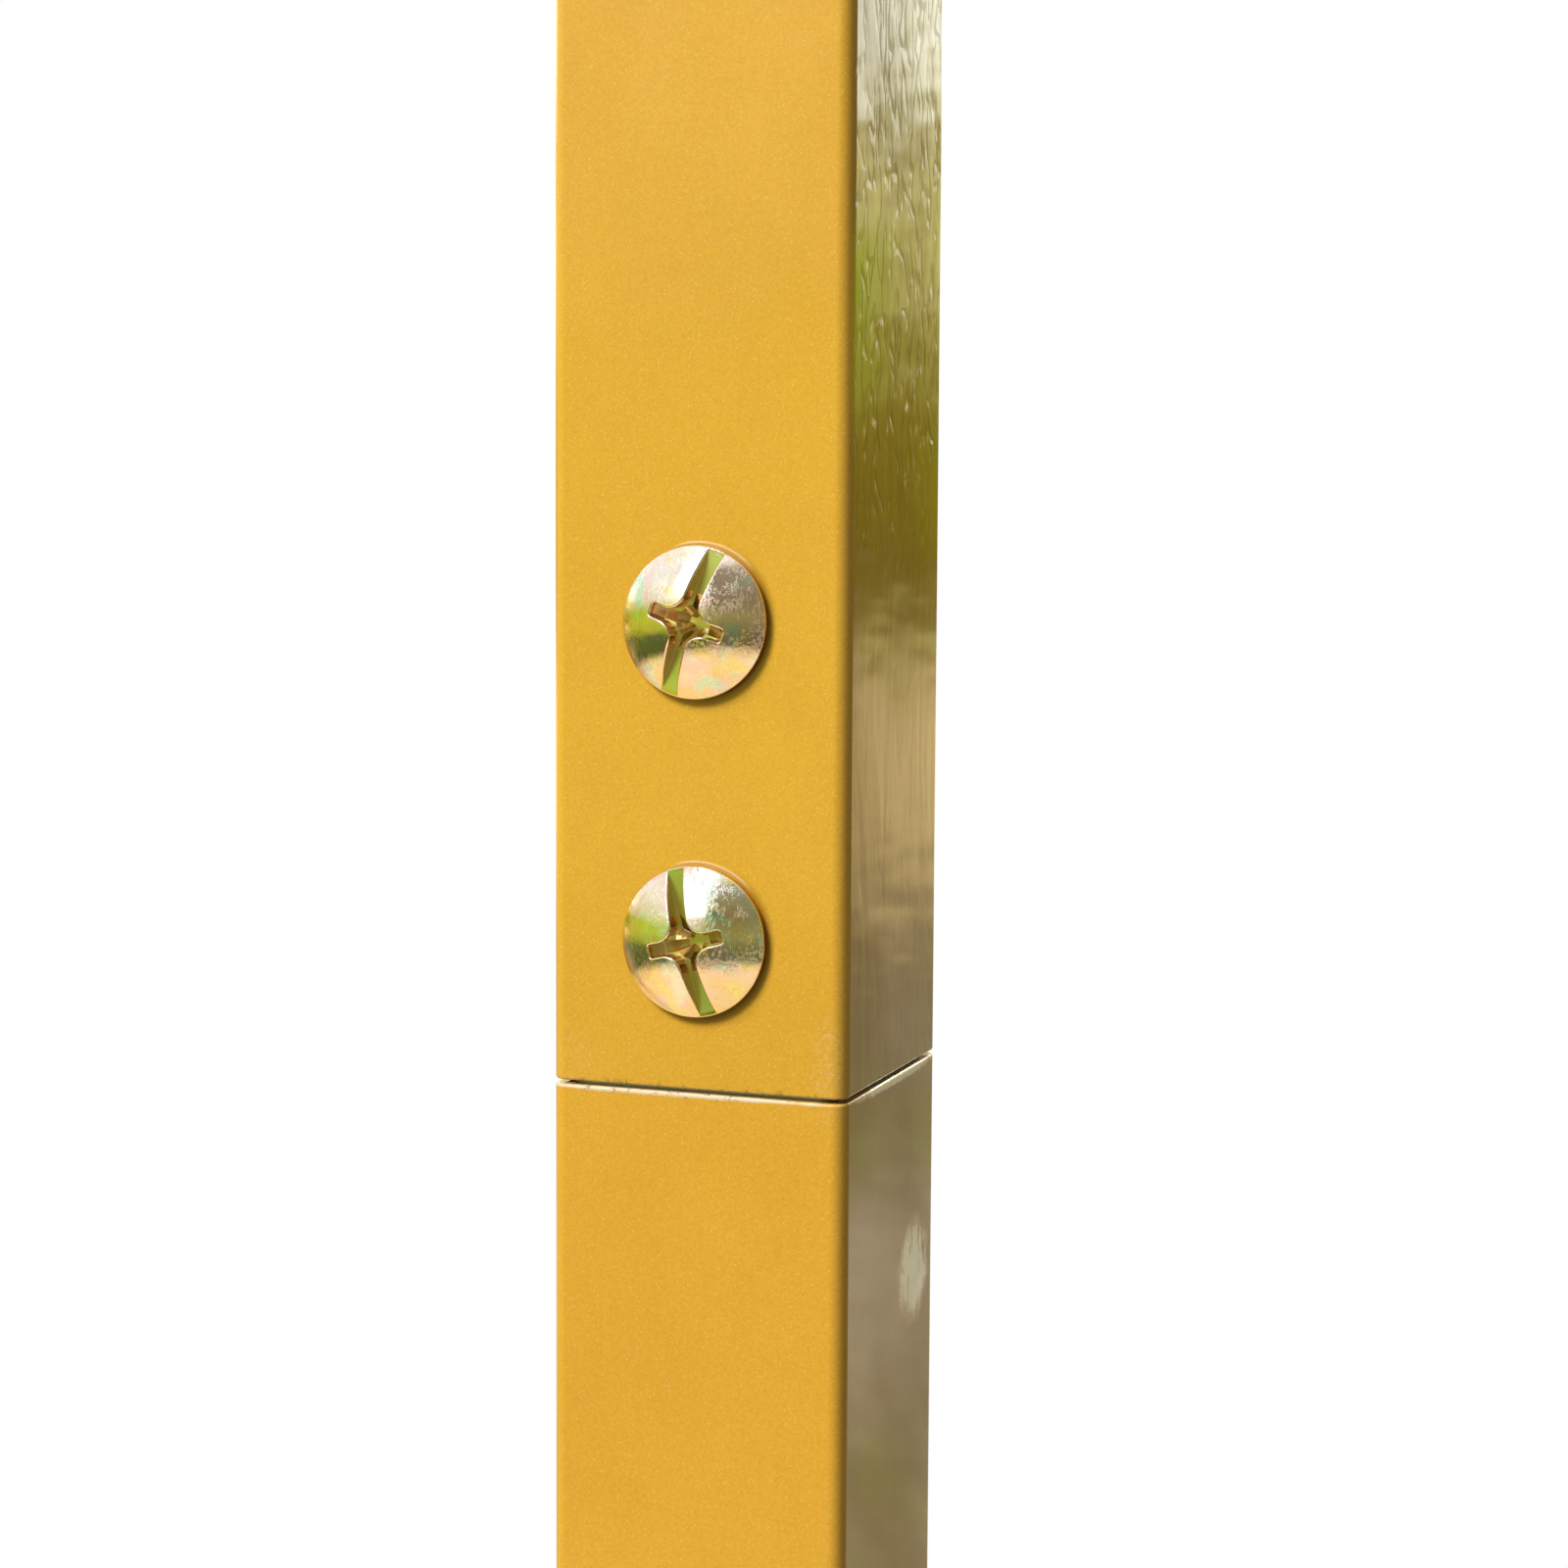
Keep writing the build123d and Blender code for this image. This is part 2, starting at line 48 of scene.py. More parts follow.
UPPER_LOW, UPPER_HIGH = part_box("upper_post")
HALF = UPPER_HIGH.x                                  # half the post's width
SEAM = (LOWER_HIGH.z + UPPER_LOW.z) / 2              # middle of the open line between the two posts
PLACES = ("lower", "upper")
SIDES = ("right", "rear", "left", "front")           # each a quarter turn on from the one before

# ---- the truss head, for the patterns that follow it --------------------------------------------------
HEAD_HEIGHT = 4.3 * MM
DOME_R = 14.035 * MM
DOME_CENTRE = HEAD_HEIGHT - DOME_R
SLOT_FLOOR = HEAD_HEIGHT - 3.2 * MM                  # above the seat
LIP_SHIFT = Vector((0.15, 0.0, 0.20)) * MM           # lip of coat above a splice screw's head
# arc of the raised coat above a head: a bump with a painted highlight on it
LIP_AND_HIGHLIGHT_ARC = {"Radius": 9.25 * MM, "Width": 0.28 * MM, "Heading": (0.26, 0.0, 0.966), "From": 0.80, "To": 0.95}
# arc of painted shadow beside a head, to its right and below it
HEAD_SHADOW_ARC = {"Radius": 9.1 * MM, "Width": 1.3 * MM, "Heading": (0.92, 0.0, -0.39), "From": -0.2, "To": 0.8}


# ---- node helpers -------------------------------------------------------------------------------------
def put(tree, socket, value):
    """Links a socket, or sets its value."""
    if isinstance(value, bpy.types.NodeSocket):
        tree.links.new(value, socket)
    else:
        socket.default_value = value


def node(tree, kind, sockets=None, **settings):
    """A shader node with its settings and the values or links of its named sockets."""
    made = tree.nodes.new("ShaderNode" + kind)
    for name, value in settings.items():
        setattr(made, name, value)
    for name, value in (sockets or {}).items():
        put(tree, made.inputs[name], value)
    return made


def calc(tree, operation, *values):
    """A Math node's result."""
    made = node(tree, "Math", operation=operation)
    for socket, value in zip(made.inputs, values):
        put(tree, socket, value)
    return made.outputs[0]


def vector_calc(tree, operation, *values):
    """A Vector Math node."""
    made = node(tree, "VectorMath", operation=operation)
    for socket, value in zip(made.inputs, values):
        put(tree, socket, value)
    return made


def rise(tree, value, low, high, to_low=0.0, to_high=1.0):
    """A smooth step from to_low to to_high as value goes from low to high."""
    sockets = {"Value": value, "From Min": low, "From Max": high, "To Min": to_low, "To Max": to_high}
    return node(tree, "MapRange", sockets, interpolation_type="SMOOTHSTEP").outputs[0]


def blend(tree, share, first, second, blend_type="MIX"):
    """A colour between first and second."""
    made = node(tree, "Mix", data_type="RGBA", blend_type=blend_type)
    for index, value in ((0, share), (6, first), (7, second)):
        put(tree, made.inputs[index], value)
    return made.outputs[2]


def ramp(tree, value, stops, interpolation="EASE"):
    """A colour ramp from (place, colour) stops."""
    made = node(tree, "ValToRGB", {"Fac": value})
    band = made.color_ramp
    band.interpolation = interpolation
    while len(band.elements) < len(stops):
        band.elements.new(0.5)
    for element, (place, colour) in zip(band.elements, stops):
        element.position = place
        element.color = (*colour, 1.0)
    return made.outputs[0]


def noise(tree, vector, scale, detail=2.0, roughness=0.5, distortion=0.0):
    """A Noise texture's value, about 0.5 on average."""
    sockets = {"Vector": vector, "Scale": scale, "Detail": detail, "Roughness": roughness,
               "Distortion": distortion}
    return node(tree, "TexNoise", sockets).outputs[0]


def stretched(tree, vector, scale, turn=(0.0, 0.0, 0.0), shift=(0.0, 0.0, 0.0)):
    """A vector that is shifted, turned and scaled by a Mapping node."""
    sockets = {"Vector": vector, "Location": shift, "Rotation": turn, "Scale": scale}
    return node(tree, "Mapping", sockets).outputs[0]


def place_of(tree):
    """The Object coordinates, which are the signpost's own, in metres."""
    return node(tree, "TexCoord").outputs["Object"]


def new_group(name, inputs, outputs):
    """A shader node group with float, colour or vector sockets. Returns its tree, what it is given and what
    it puts out."""
    tree = bpy.data.node_groups.new(name, "ShaderNodeTree")
    for title, kind, value in inputs:
        socket = tree.interface.new_socket(name=title, in_out="INPUT", socket_type="NodeSocket" + kind)
        socket.default_value = value
    for title, kind in outputs:
        tree.interface.new_socket(name=title, in_out="OUTPUT", socket_type="NodeSocket" + kind)
    return tree, tree.nodes.new("NodeGroupInput").outputs, tree.nodes.new("NodeGroupOutput").inputs


def use(tree, group, sockets=None):
    """Places a node group in a material and returns its outputs."""
    made = tree.nodes.new("ShaderNodeGroup")
    made.node_tree = group
    for name, value in (sockets or {}).items():
        put(tree, made.inputs[name], value)
    return made.outputs


# ---- effects that several finishes share --------------------------------------------------------------
def coat_skin_group():
    """Powder coat: blotches, fine grain and bright flakes in its colour, and the flow marks in its skin."""
    tree, given, result = new_group(
        "coat_skin",
        [("Colour", "Color", (0.8, 0.4, 0.03, 1)), ("Flake Share", "Float", 0.1),
         ("Peel Width", "Float", 3 * MM), ("Peel Stretch", "Float", 0.35)],
        [("Colour", "Color"), ("Roughness", "Float"), ("Height", "Float")])
    place = place_of(tree)
    blotch = noise(tree, place, 45.0, 3.0, 0.6)
    pale = blend(tree, rise(tree, blotch, 0.3, 0.7), (0.97, 0.965, 0.93, 1), (1.02, 1.025, 1.04, 1))
    colour = blend(tree, 1.0, given["Colour"], pale, "MULTIPLY")
    grain = noise(tree, place, 3400.0, 3.0, 0.7)
    grain_tint = blend(tree, rise(tree, grain, 0.3, 0.7), (0.93, 0.925, 0.86, 1), (1.06, 1.065, 1.12, 1))
    colour = blend(tree, 1.0, colour, grain_tint, "MULTIPLY")
    cells = node(tree, "TexVoronoi", {"Vector": place, "Scale": 3600.0})
    chance = node(tree, "SeparateColor", {"Color": cells.outputs["Color"]}).outputs[0]
    picked = calc(tree, "LESS_THAN", chance, given["Flake Share"])
    core = rise(tree, cells.outputs["Distance"], 0.42, 0.18)
    flake = calc(tree, "MULTIPLY", picked, core)
    flake = calc(tree, "MULTIPLY", flake, 0.38)
    put(tree, result["Colour"], blend(tree, flake, colour, (1.0, 0.78, 0.36, 1)))
    rough = rise(tree, noise(tree, place, 130.0, 3.0, 0.6), 0.25, 0.75, 0.16, 0.24)
    put(tree, result["Roughness"], rough)
    frequency = calc(tree, "DIVIDE", 1.0, given["Peel Width"])
    along = calc(tree, "MULTIPLY", frequency, given["Peel Stretch"])
    scale = node(tree, "CombineXYZ", {"X": frequency, "Y": frequency, "Z": along}).outputs[0]
    flow = vector_calc(tree, "MULTIPLY", place, scale).outputs[0]
    waves = noise(tree, flow, 1.0, 2.0, 0.45, 0.35)
    ripple = noise(tree, flow, 2.7, 1.0, 0.5)
    put(tree, result["Height"], calc(tree, "MULTIPLY_ADD", ripple, 0.18, waves))
    return tree


def sags_group():
    """Sags in a thick coat on one side of the post: creases between smooth runs, taller than wide, that
    grow from a low level to a high one."""
    tree, given, result = new_group(
        "coat_sags",
        [("Face", "Float", HALF), ("From Level", "Float", 0.0), ("To Level", "Float", 0.1)],
        [("Height", "Float")])
    place = place_of(tree)
    part = node(tree, "SeparateXYZ", {"Vector": place}).outputs
    # creases follow the middle value of a bent noise, and break off part way
    bend = noise(tree, stretched(tree, place, (120.0, 120.0, 90.0)), 1.0, 2.0, 0.5)
    bend = calc(tree, "MULTIPLY", bend, 1.5)
    flow = stretched(tree, place, (60.0, 275.0, 105.0))
    flow = vector_calc(tree, "ADD", flow, node(tree, "CombineXYZ", {"X": bend, "Y": bend}).outputs[0])
    field = noise(tree, flow.outputs[0], 1.0, 1.0, 0.5, 0.4)
    groove = rise(tree, calc(tree, "ABSOLUTE", calc(tree, "SUBTRACT", field, 0.5)), 0.085, 0.0)
    part_way = noise(tree, stretched(tree, place, (60.0, 270.0, 140.0), shift=(5.0, 2.0, 1.0)), 1.0, 1.0)
    groove = calc(tree, "MULTIPLY", groove, rise(tree, part_way, 0.36, 0.52))
    swell = noise(tree, stretched(tree, place, (60.0, 200.0, 115.0), shift=(3.0, 1.0, 2.0)), 1.0, 1.0)
    shape = calc(tree, "MULTIPLY_ADD", groove, -1.9, swell)
    depth = calc(tree, "SUBTRACT", given["Face"], part[0])
    on_face = rise(tree, depth, 0.04 * MM, 0.0)
    higher = rise(tree, part[2], given["From Level"], given["To Level"], 0.03, 1.0)
    streaks = noise(tree, stretched(tree, place, (100.0, 240.0, 42.0)), 1.0, 2.0, 0.5, 0.8)
    shape = calc(tree, "MULTIPLY_ADD", streaks, 0.75, calc(tree, "MULTIPLY", shape, higher))
    put(tree, result["Height"], calc(tree, "MULTIPLY", shape, on_face))
    return tree


def scuff_group():
    """Pale specks and rubs that fill a soft-edged ellipsoid."""
    tree, given, result = new_group(
        "scuff",
        [("Centre", "Vector", (0, 0, 0)), ("Reach", "Vector", (0.01, 0.01, 0.01)),
         ("Speck", "Float", 0.6 * MM), ("Streak", "Float", 1.0), ("Cover", "Float", 0.3)],
        [("Mask", "Float")])
    place = place_of(tree)
    offset = vector_calc(tree, "SUBTRACT", place, given["Centre"]).outputs[0]
    inside = vector_calc(tree, "LENGTH", vector_calc(tree, "DIVIDE", offset, given["Reach"]).outputs[0])
    ragged = calc(tree, "MULTIPLY_ADD", noise(tree, place, 420.0, 3.0, 0.6), 0.7, -0.35)
    fade = rise(tree, calc(tree, "ADD", inside.outputs["Value"], ragged), 1.05, 0.55)
    pitch = calc(tree, "DIVIDE", 1.0, given["Speck"])
    along = calc(tree, "DIVIDE", pitch, given["Streak"])
    scale = node(tree, "CombineXYZ", {"X": pitch, "Y": pitch, "Z": along}).outputs[0]
    specks = noise(tree, vector_calc(tree, "MULTIPLY", place, scale).outputs[0], 1.0, 3.0, 0.62)
    limit = calc(tree, "SUBTRACT", 0.78, calc(tree, "MULTIPLY", given["Cover"], 0.55))
    shown = rise(tree, specks, calc(tree, "SUBTRACT", limit, 0.06), calc(tree, "ADD", limit, 0.06))
    put(tree, result["Mask"], calc(tree, "MULTIPLY", shown, fade))
    return tree


def scratches_group():
    """Fine hairlines that run in three directions, broken up along their length."""
    tree, given, result = new_group(
        "scratches",
        [("Pitch", "Float", 1.5 * MM), ("Amount", "Float", 0.4)],
        [("Mask", "Float")])
    place = place_of(tree)
    frequency = calc(tree, "DIVIDE", 1.0, given["Pitch"])
    scaled = vector_calc(tree, "SCALE", place)
    put(tree, scaled.inputs["Scale"], frequency)
    total = None
    for turn in ((0.0, 0.5, 0.3), (0.2, -0.9, 0.0), (0.4, 1.7, 0.6)):
        line = stretched(tree, scaled.outputs[0], (1.0, 1.0, 0.07), turn)
        thread = noise(tree, line, 1.0, 1.0, 0.5, 0.2)
        near = calc(tree, "ABSOLUTE", calc(tree, "SUBTRACT", thread, 0.5))
        hair = rise(tree, near, 0.02, 0.004)
        total = hair if total is None else calc(tree, "MAXIMUM", total, hair)
    broken = rise(tree, noise(tree, scaled.outputs[0], 0.35, 2.0, 0.6), 0.45, 0.62)
    put(tree, result["Mask"], calc(tree, "MULTIPLY", calc(tree, "MULTIPLY", total, broken), given["Amount"]))
    return tree


def ring_group():
    """An arc on the post's front face, around the middle of a screw's head. It fades in as the cosine of the
    turn away from its heading goes from one value to another."""
    tree, given, result = new_group(
        "coat_ring",
        [("Centre", "Vector", (0, 0, 0)), ("Radius", "Float", 9 * MM), ("Width", "Float", 0.3 * MM),
         ("Heading", "Vector", (0, 0, 1)), ("From", "Float", 0.8), ("To", "Float", 0.9)],
        [("Mask", "Float")])
    offset = vector_calc(tree, "SUBTRACT", place_of(tree), given["Centre"]).outputs[0]
    part = node(tree, "SeparateXYZ", {"Vector": offset}).outputs
    flat = node(tree, "CombineXYZ", {"X": part[0], "Z": part[2]}).outputs[0]
    away = vector_calc(tree, "LENGTH", flat).outputs["Value"]
    off_line = calc(tree, "ABSOLUTE", calc(tree, "SUBTRACT", away, given["Radius"]))
    line = rise(tree, off_line, given["Width"], 0.0)
    near_front = rise(tree, part[1], 2 * MM, 1 * MM)
    upward = vector_calc(tree, "NORMALIZE", flat).outputs[0]
    turned = vector_calc(tree, "DOT_PRODUCT", upward, given["Heading"]).outputs["Value"]
    arc = rise(tree, turned, given["From"], given["To"])
    put(tree, result["Mask"], calc(tree, "MULTIPLY", calc(tree, "MULTIPLY", line, near_front), arc))
    return tree


def zinc_group():
    """Yellow zinc plate on a truss screw whose seat is centred on a point: silver and rose at the top, straw
    and peach with yellow and green below, amber on the walls of the recess, and a worn, scratched crown."""
    tree, given, result = new_group(
        "yellow_zinc",
        [("Centre", "Vector", (0, 0, 0))],
        [("Colour", "Color"), ("Roughness", "Float"), ("Height", "Float")])
    place = place_of(tree)
    own = vector_calc(tree, "SUBTRACT", place, given["Centre"]).outputs[0]
    part = node(tree, "SeparateXYZ", {"Vector": own}).outputs
    drift = noise(tree, place, 130.0, 2.0, 0.5, 0.8)
    hue = ramp(tree, calc(tree, "MULTIPLY_ADD", part[2], -22.0, drift), [
        (0.30, (0.93, 0.92, 0.90)),
        (0.46, (0.90, 0.87, 0.70)),
        (0.58, (0.95, 0.75, 0.55)),
        (0.70, (0.97, 0.72, 0.38)),
    ])
    for shift, scale, low, high, tint in BLOOMS:
        spread = stretched(tree, place, (scale, scale, scale), shift=(shift, 0, shift))
        spread = noise(tree, spread, 1.0, 2.5, 0.5, 0.7)
        hue = blend(tree, rise(tree, spread, low, high, 0.0, 0.85), hue, tint)
    # how deep a point lies below the dome tells the recess from the land around it
    across = calc(tree, "MULTIPLY", part[0], part[0])
    radius_2 = calc(tree, "MULTIPLY_ADD", part[2], part[2], across)
    ball = calc(tree, "SQRT", calc(tree, "MAXIMUM", calc(tree, "SUBTRACT", DOME_R**2, radius_2), 0.0))
    depth = calc(tree, "ADD", calc(tree, "ADD", ball, DOME_CENTRE), part[1])
    sunk = rise(tree, depth, 0.20 * MM, 0.34 * MM)
    sunk = calc(tree, "MULTIPLY", sunk, rise(tree, part[1], 3 * MM, 2 * MM))
    above_floor = calc(tree, "ABSOLUTE", calc(tree, "ADD", part[1], SLOT_FLOOR))
    off_floor = rise(tree, above_floor, 0.03 * MM, 0.12 * MM)
    hue = blend(tree, sunk, hue, (0.94, 0.95, 0.46, 1))
    walls = calc(tree, "MULTIPLY", sunk, off_floor)
    slot_floor = calc(tree, "SUBTRACT", sunk, walls)
    deep = rise(tree, depth, 1.5 * MM, 3.6 * MM)
    amber = blend(tree, deep, (0.74, 0.47, 0.22, 1), (0.82, 0.68, 0.42, 1))
    hue = blend(tree, walls, hue, amber)
    # wear, most of it on the upper right of the land
    worn = rise(tree, noise(tree, place, 210.0, 3.0, 0.6), 0.38, 0.56)
    worn = calc(tree, "MULTIPLY", worn, rise(tree, part[2], -4.5 * MM, -0.5 * MM, 0.10, 1.0))
    worn = calc(tree, "MULTIPLY", worn, rise(tree, part[0], -3 * MM, 2 * MM, 0.35, 1.0))
    open_land = calc(tree, "SUBTRACT", 1.0, sunk)
    long_marks = use(tree, SCRATCHES, {"Pitch": 0.9 * MM, "Amount": 1.0})["Mask"]
    short_marks = use(tree, SCRATCHES, {"Pitch": 0.4 * MM, "Amount": 0.8})["Mask"]
    marks = calc(tree, "MAXIMUM", long_marks, short_marks)
    marks = calc(tree, "MULTIPLY", marks, calc(tree, "MULTIPLY_ADD", worn, 0.80, 0.20))
    marks = calc(tree, "MULTIPLY", marks, open_land)
    pits = rise(tree, noise(tree, place, 2300.0, 2.5, 0.65), 0.50, 0.64)
    pits = calc(tree, "MULTIPLY", pits, worn)
    pits = calc(tree, "MULTIPLY", pits, open_land)
    hue = blend(tree, calc(tree, "MULTIPLY", pits, 0.15), hue, (0.30, 0.27, 0.20, 1))
    put(tree, result["Colour"], hue)
    rough = calc(tree, "MULTIPLY_ADD", worn, 0.07, 0.05)
    rough = calc(tree, "MULTIPLY_ADD", marks, 0.55, rough)
    rough = calc(tree, "MULTIPLY_ADD", walls, 0.10, rough)
    rough = calc(tree, "MULTIPLY_ADD", slot_floor, 0.24, rough)
    put(tree, result["Roughness"], calc(tree, "MULTIPLY_ADD", pits, 0.45, rough))
    dents = calc(tree, "MULTIPLY", noise(tree, place, 230.0, 1.0, 0.5), 2.4)
    height = calc(tree, "MULTIPLY_ADD", marks, -0.45, dents)
    put(tree, result["Height"], calc(tree, "MULTIPLY_ADD", pits, -0.35, height))
    return tree


def plastic_group():
    """Moulded plastic: cloudy tone, light handling marks, uneven gloss and a fine tooled grain."""
    tree, given, result = new_group(
        "moulded_plastic",
        [("Dark", "Color", (0.1, 0.1, 0.1, 1)), ("Light", "Color", (0.2, 0.2, 0.2, 1))],
        [("Colour", "Color"), ("Roughness", "Float"), ("Height", "Float")])
    place = place_of(tree)
    cloud = noise(tree, place, 70.0, 3.0, 0.6)
    tone = blend(tree, rise(tree, cloud, 0.3, 0.7), given["Dark"], given["Light"])
    marks = use(tree, SCRATCHES, {"Pitch": 1.4 * MM, "Amount": 0.22})["Mask"]
    put(tree, result["Colour"], blend(tree, marks, tone, (0.35, 0.35, 0.34, 1)))
    put(tree, result["Roughness"], rise(tree, cloud, 0.25, 0.75, 0.38, 0.55))
    put(tree, result["Height"], noise(tree, place, 1500.0, 2.0))
    return tree


def rain_group():
    """The faint runs that rain leaves down the sign's face."""
    tree, given, result = new_group("rain_runs", [("Amount", "Float", 0.3)], [("Mask", "Float")])
    place = place_of(tree)
    runs = noise(tree, stretched(tree, place, (170.0, 170.0, 6.0)), 1.0, 3.0, 0.6)
    broad = noise(tree, place, 14.0, 3.0, 0.6)
    mask = calc(tree, "MULTIPLY", rise(tree, runs, 0.48, 0.72), rise(tree, broad, 0.35, 0.65))
    put(tree, result["Mask"], calc(tree, "MULTIPLY", mask, given["Amount"]))
    return tree


BLOOMS = [       # (place in the noise, scale, where it starts, where it is full, colour)
    (3.0, 170.0, 0.46, 0.62, (0.96, 0.70, 0.66, 1)),
    (11.0, 190.0, 0.52, 0.66, (0.98, 0.83, 0.34, 1)),
    (23.0, 240.0, 0.57, 0.70, (0.64, 0.90, 0.76, 1)),
]
COAT_SKIN = coat_skin_group()
COAT_SAGS = sags_group()
SCUFF = scuff_group()
SCRATCHES = scratches_group()
COAT_RING = ring_group()
YELLOW_ZINC = zinc_group()
MOULDED_PLASTIC = plastic_group()
RAIN_RUNS = rain_group()


# ---- finishes -----------------------------------------------------------------------------------------
def new_finish(name, **fixed):
    """A material with one Principled shader and its fixed values; returns it, its tree and the sockets."""
    material = bpy.data.materials.new(name)
    material.use_nodes = True
    tree = material.node_tree
    shader = tree.nodes["Principled BSDF"]
    for socket, value in fixed.items():
        shader.inputs[socket.replace("_", " ")].default_value = value
    return material, tree, shader.inputs


def relief(tree, height, distance):
    """A Bump node's normal, for a height of 1 that stands this far out."""
    return node(tree, "Bump", {"Height": height, "Distance": distance}).outputs[0]


# pale rubbed coat, also a painted highlight along the lower post's front top edge
PALE_RUB_AND_HIGHLIGHT = (0.86, 0.80, 0.66, 1)
BARE = (1.00, 0.97, 1.00, 1)
GRIME = (0.10, 0.065, 0.02, 1)
# painted highlight on the raised coat above a screw head
LIP_HIGHLIGHT = (0.95, 0.62, 0.36, 1)
# painted shadow beside a screw head
PAINTED_HEAD_SHADOW = (0.20, 0.08, 0.004, 1)


def patches(tree, spots):
    """The mask of several patches, each given as (centre, reach, speck, streak, cover, strength)."""
    total = None
    for centre, reach, speck, streak, cover, strength in spots:
        sockets = {"Centre": centre, "Reach": reach, "Speck": speck, "Streak": streak, "Cover": cover}
        mask = calc(tree, "MULTIPLY", use(tree, SCUFF, sockets)["Mask"], strength)
        total = mask if total is None else calc(tree, "MAXIMUM", total, mask)
    return total


def powder_coat(name, colour, rubs_and_highlight=(), bare=(), grime=(), heads=(), sag_levels=None):
    """Golden-yellow gloss powder coat. Rubs are pale, dulled specks, one of them a painted highlight
    along the lower post's front top edge. Bare patches show bright metal, grime is dark soiling, heads are
    the middles of screw heads, each with a painted shadow to its right and below it and raised coat above
    it, which is a bump with a painted highlight. The sags on the right side grow between the sag levels."""
    material, tree, shader = new_finish(name, IOR=1.5, Specular_IOR_Level=0.22, Coat_Weight=1.0,
                                        Coat_Roughness=0.045, Coat_IOR=1.5)
    skin = use(tree, COAT_SKIN, {"Colour": (*colour, 1)})
    surface, roughness, height = skin["Colour"], skin["Roughness"], skin["Height"]
    for spots, tint, dulled in ((rubs_and_highlight, PALE_RUB_AND_HIGHLIGHT, 0.25), (grime, GRIME, 0.35)):
        if spots:
            mask = patches(tree, spots)
            surface = blend(tree, mask, surface, tint)
            roughness = calc(tree, "MULTIPLY_ADD", mask, dulled, roughness)
    if bare:
        mask = patches(tree, bare)
        surface = blend(tree, mask, surface, BARE)
        roughness = calc(tree, "MULTIPLY_ADD", mask, 0.08, roughness)
        put(tree, shader["Metallic"], mask)
        put(tree, shader["Coat Weight"], calc(tree, "SUBTRACT", 1.0, mask))
    for centre in heads:
        # painted shadow to the right of each head and below it, then the raised coat above it: a bump with a
        # painted highlight
        head_shadow = use(tree, COAT_RING, {"Centre": centre, **HEAD_SHADOW_ARC})["Mask"]
        surface = blend(tree, calc(tree, "MULTIPLY", head_shadow, 0.75), surface, PAINTED_HEAD_SHADOW)
        lip_and_highlight = use(tree, COAT_RING, {"Centre": centre + LIP_SHIFT, **LIP_AND_HIGHLIGHT_ARC})["Mask"]
        surface = blend(tree, calc(tree, "MULTIPLY", lip_and_highlight, 0.75), surface, LIP_HIGHLIGHT)
        height = calc(tree, "MULTIPLY_ADD", lip_and_highlight, 1.2, height)
    put(tree, shader["Base Color"], surface)
    put(tree, shader["Roughness"], roughness)
    normal = relief(tree, height, 0.05 * MM)
    if sag_levels:
        sags = use(tree, COAT_SAGS, {"From Level": sag_levels[0], "To Level": sag_levels[1]})["Height"]
        normal = node(tree, "Bump", {"Height": sags, "Distance": 0.30 * MM, "Normal": normal}).outputs[0]
    put(tree, shader["Normal"], normal)
    return material


def iridescent_zinc(name, centre):
    """Yellow zinc plate whose pattern is centred on a screw head's seat."""
    material, tree, shader = new_finish(name, Metallic=1.0)
    plate = use(tree, YELLOW_ZINC, {"Centre": centre})
    put(tree, shader["Base Color"], plate["Colour"])
    put(tree, shader["Roughness"], plate["Roughness"])
    put(tree, shader["Normal"], relief(tree, plate["Height"], 0.035 * MM))
    return material


def galvanised(name):
    """Dull galvanised steel with spangle."""
    material, tree, shader = new_finish(name, Metallic=1.0)
    place = place_of(tree)
    spangle = node(tree, "TexVoronoi", {"Vector": place, "Scale": 160.0}).outputs["Color"]
    value = node(tree, "SeparateColor", {"Color": spangle}).outputs[0]
    put(tree, shader["Base Color"], ramp(tree, value, [(0.0, (0.34, 0.35, 0.36)), (1.0, (0.58, 0.59, 0.60))]))
    put(tree, shader["Roughness"], rise(tree, value, 0.0, 1.0, 0.35, 0.55))
    put(tree, shader["Normal"], relief(tree, noise(tree, place, 900.0, 3.0), 0.02 * MM))
    return material


def sheet_aluminium(name):
    """Rolled aluminium sheet: fine vertical rolling lines, hairline scratches and faint stains."""
    material, tree, shader = new_finish(name, Metallic=1.0)
    place = place_of(tree)
    lines = noise(tree, stretched(tree, place, (2200.0, 2200.0, 25.0)), 1.0, 2.0, 0.6)
    stain = noise(tree, place, 16.0, 4.0, 0.6)
    marks = use(tree, SCRATCHES, {"Pitch": 1.8 * MM, "Amount": 0.45})["Mask"]
    colour = ramp(tree, stain, [(0.3, (0.76, 0.73, 0.90)), (0.7, (0.88, 0.84, 1.00))])
    drawn = calc(tree, "MULTIPLY", rise(tree, lines, 0.3, 0.7), 0.12)
    colour = blend(tree, drawn, colour, (0.45, 0.46, 0.47, 1))
    colour = blend(tree, marks, colour, (0.86, 0.86, 0.86, 1))
    put(tree, shader["Base Color"], colour)
    put(tree, shader["Roughness"], rise(tree, calc(tree, "ADD", lines, stain), 0.6, 1.4, 0.28, 0.46))
    put(tree, shader["Normal"], relief(tree, calc(tree, "MULTIPLY_ADD", marks, -0.6, lines), 0.012 * MM))
    return material


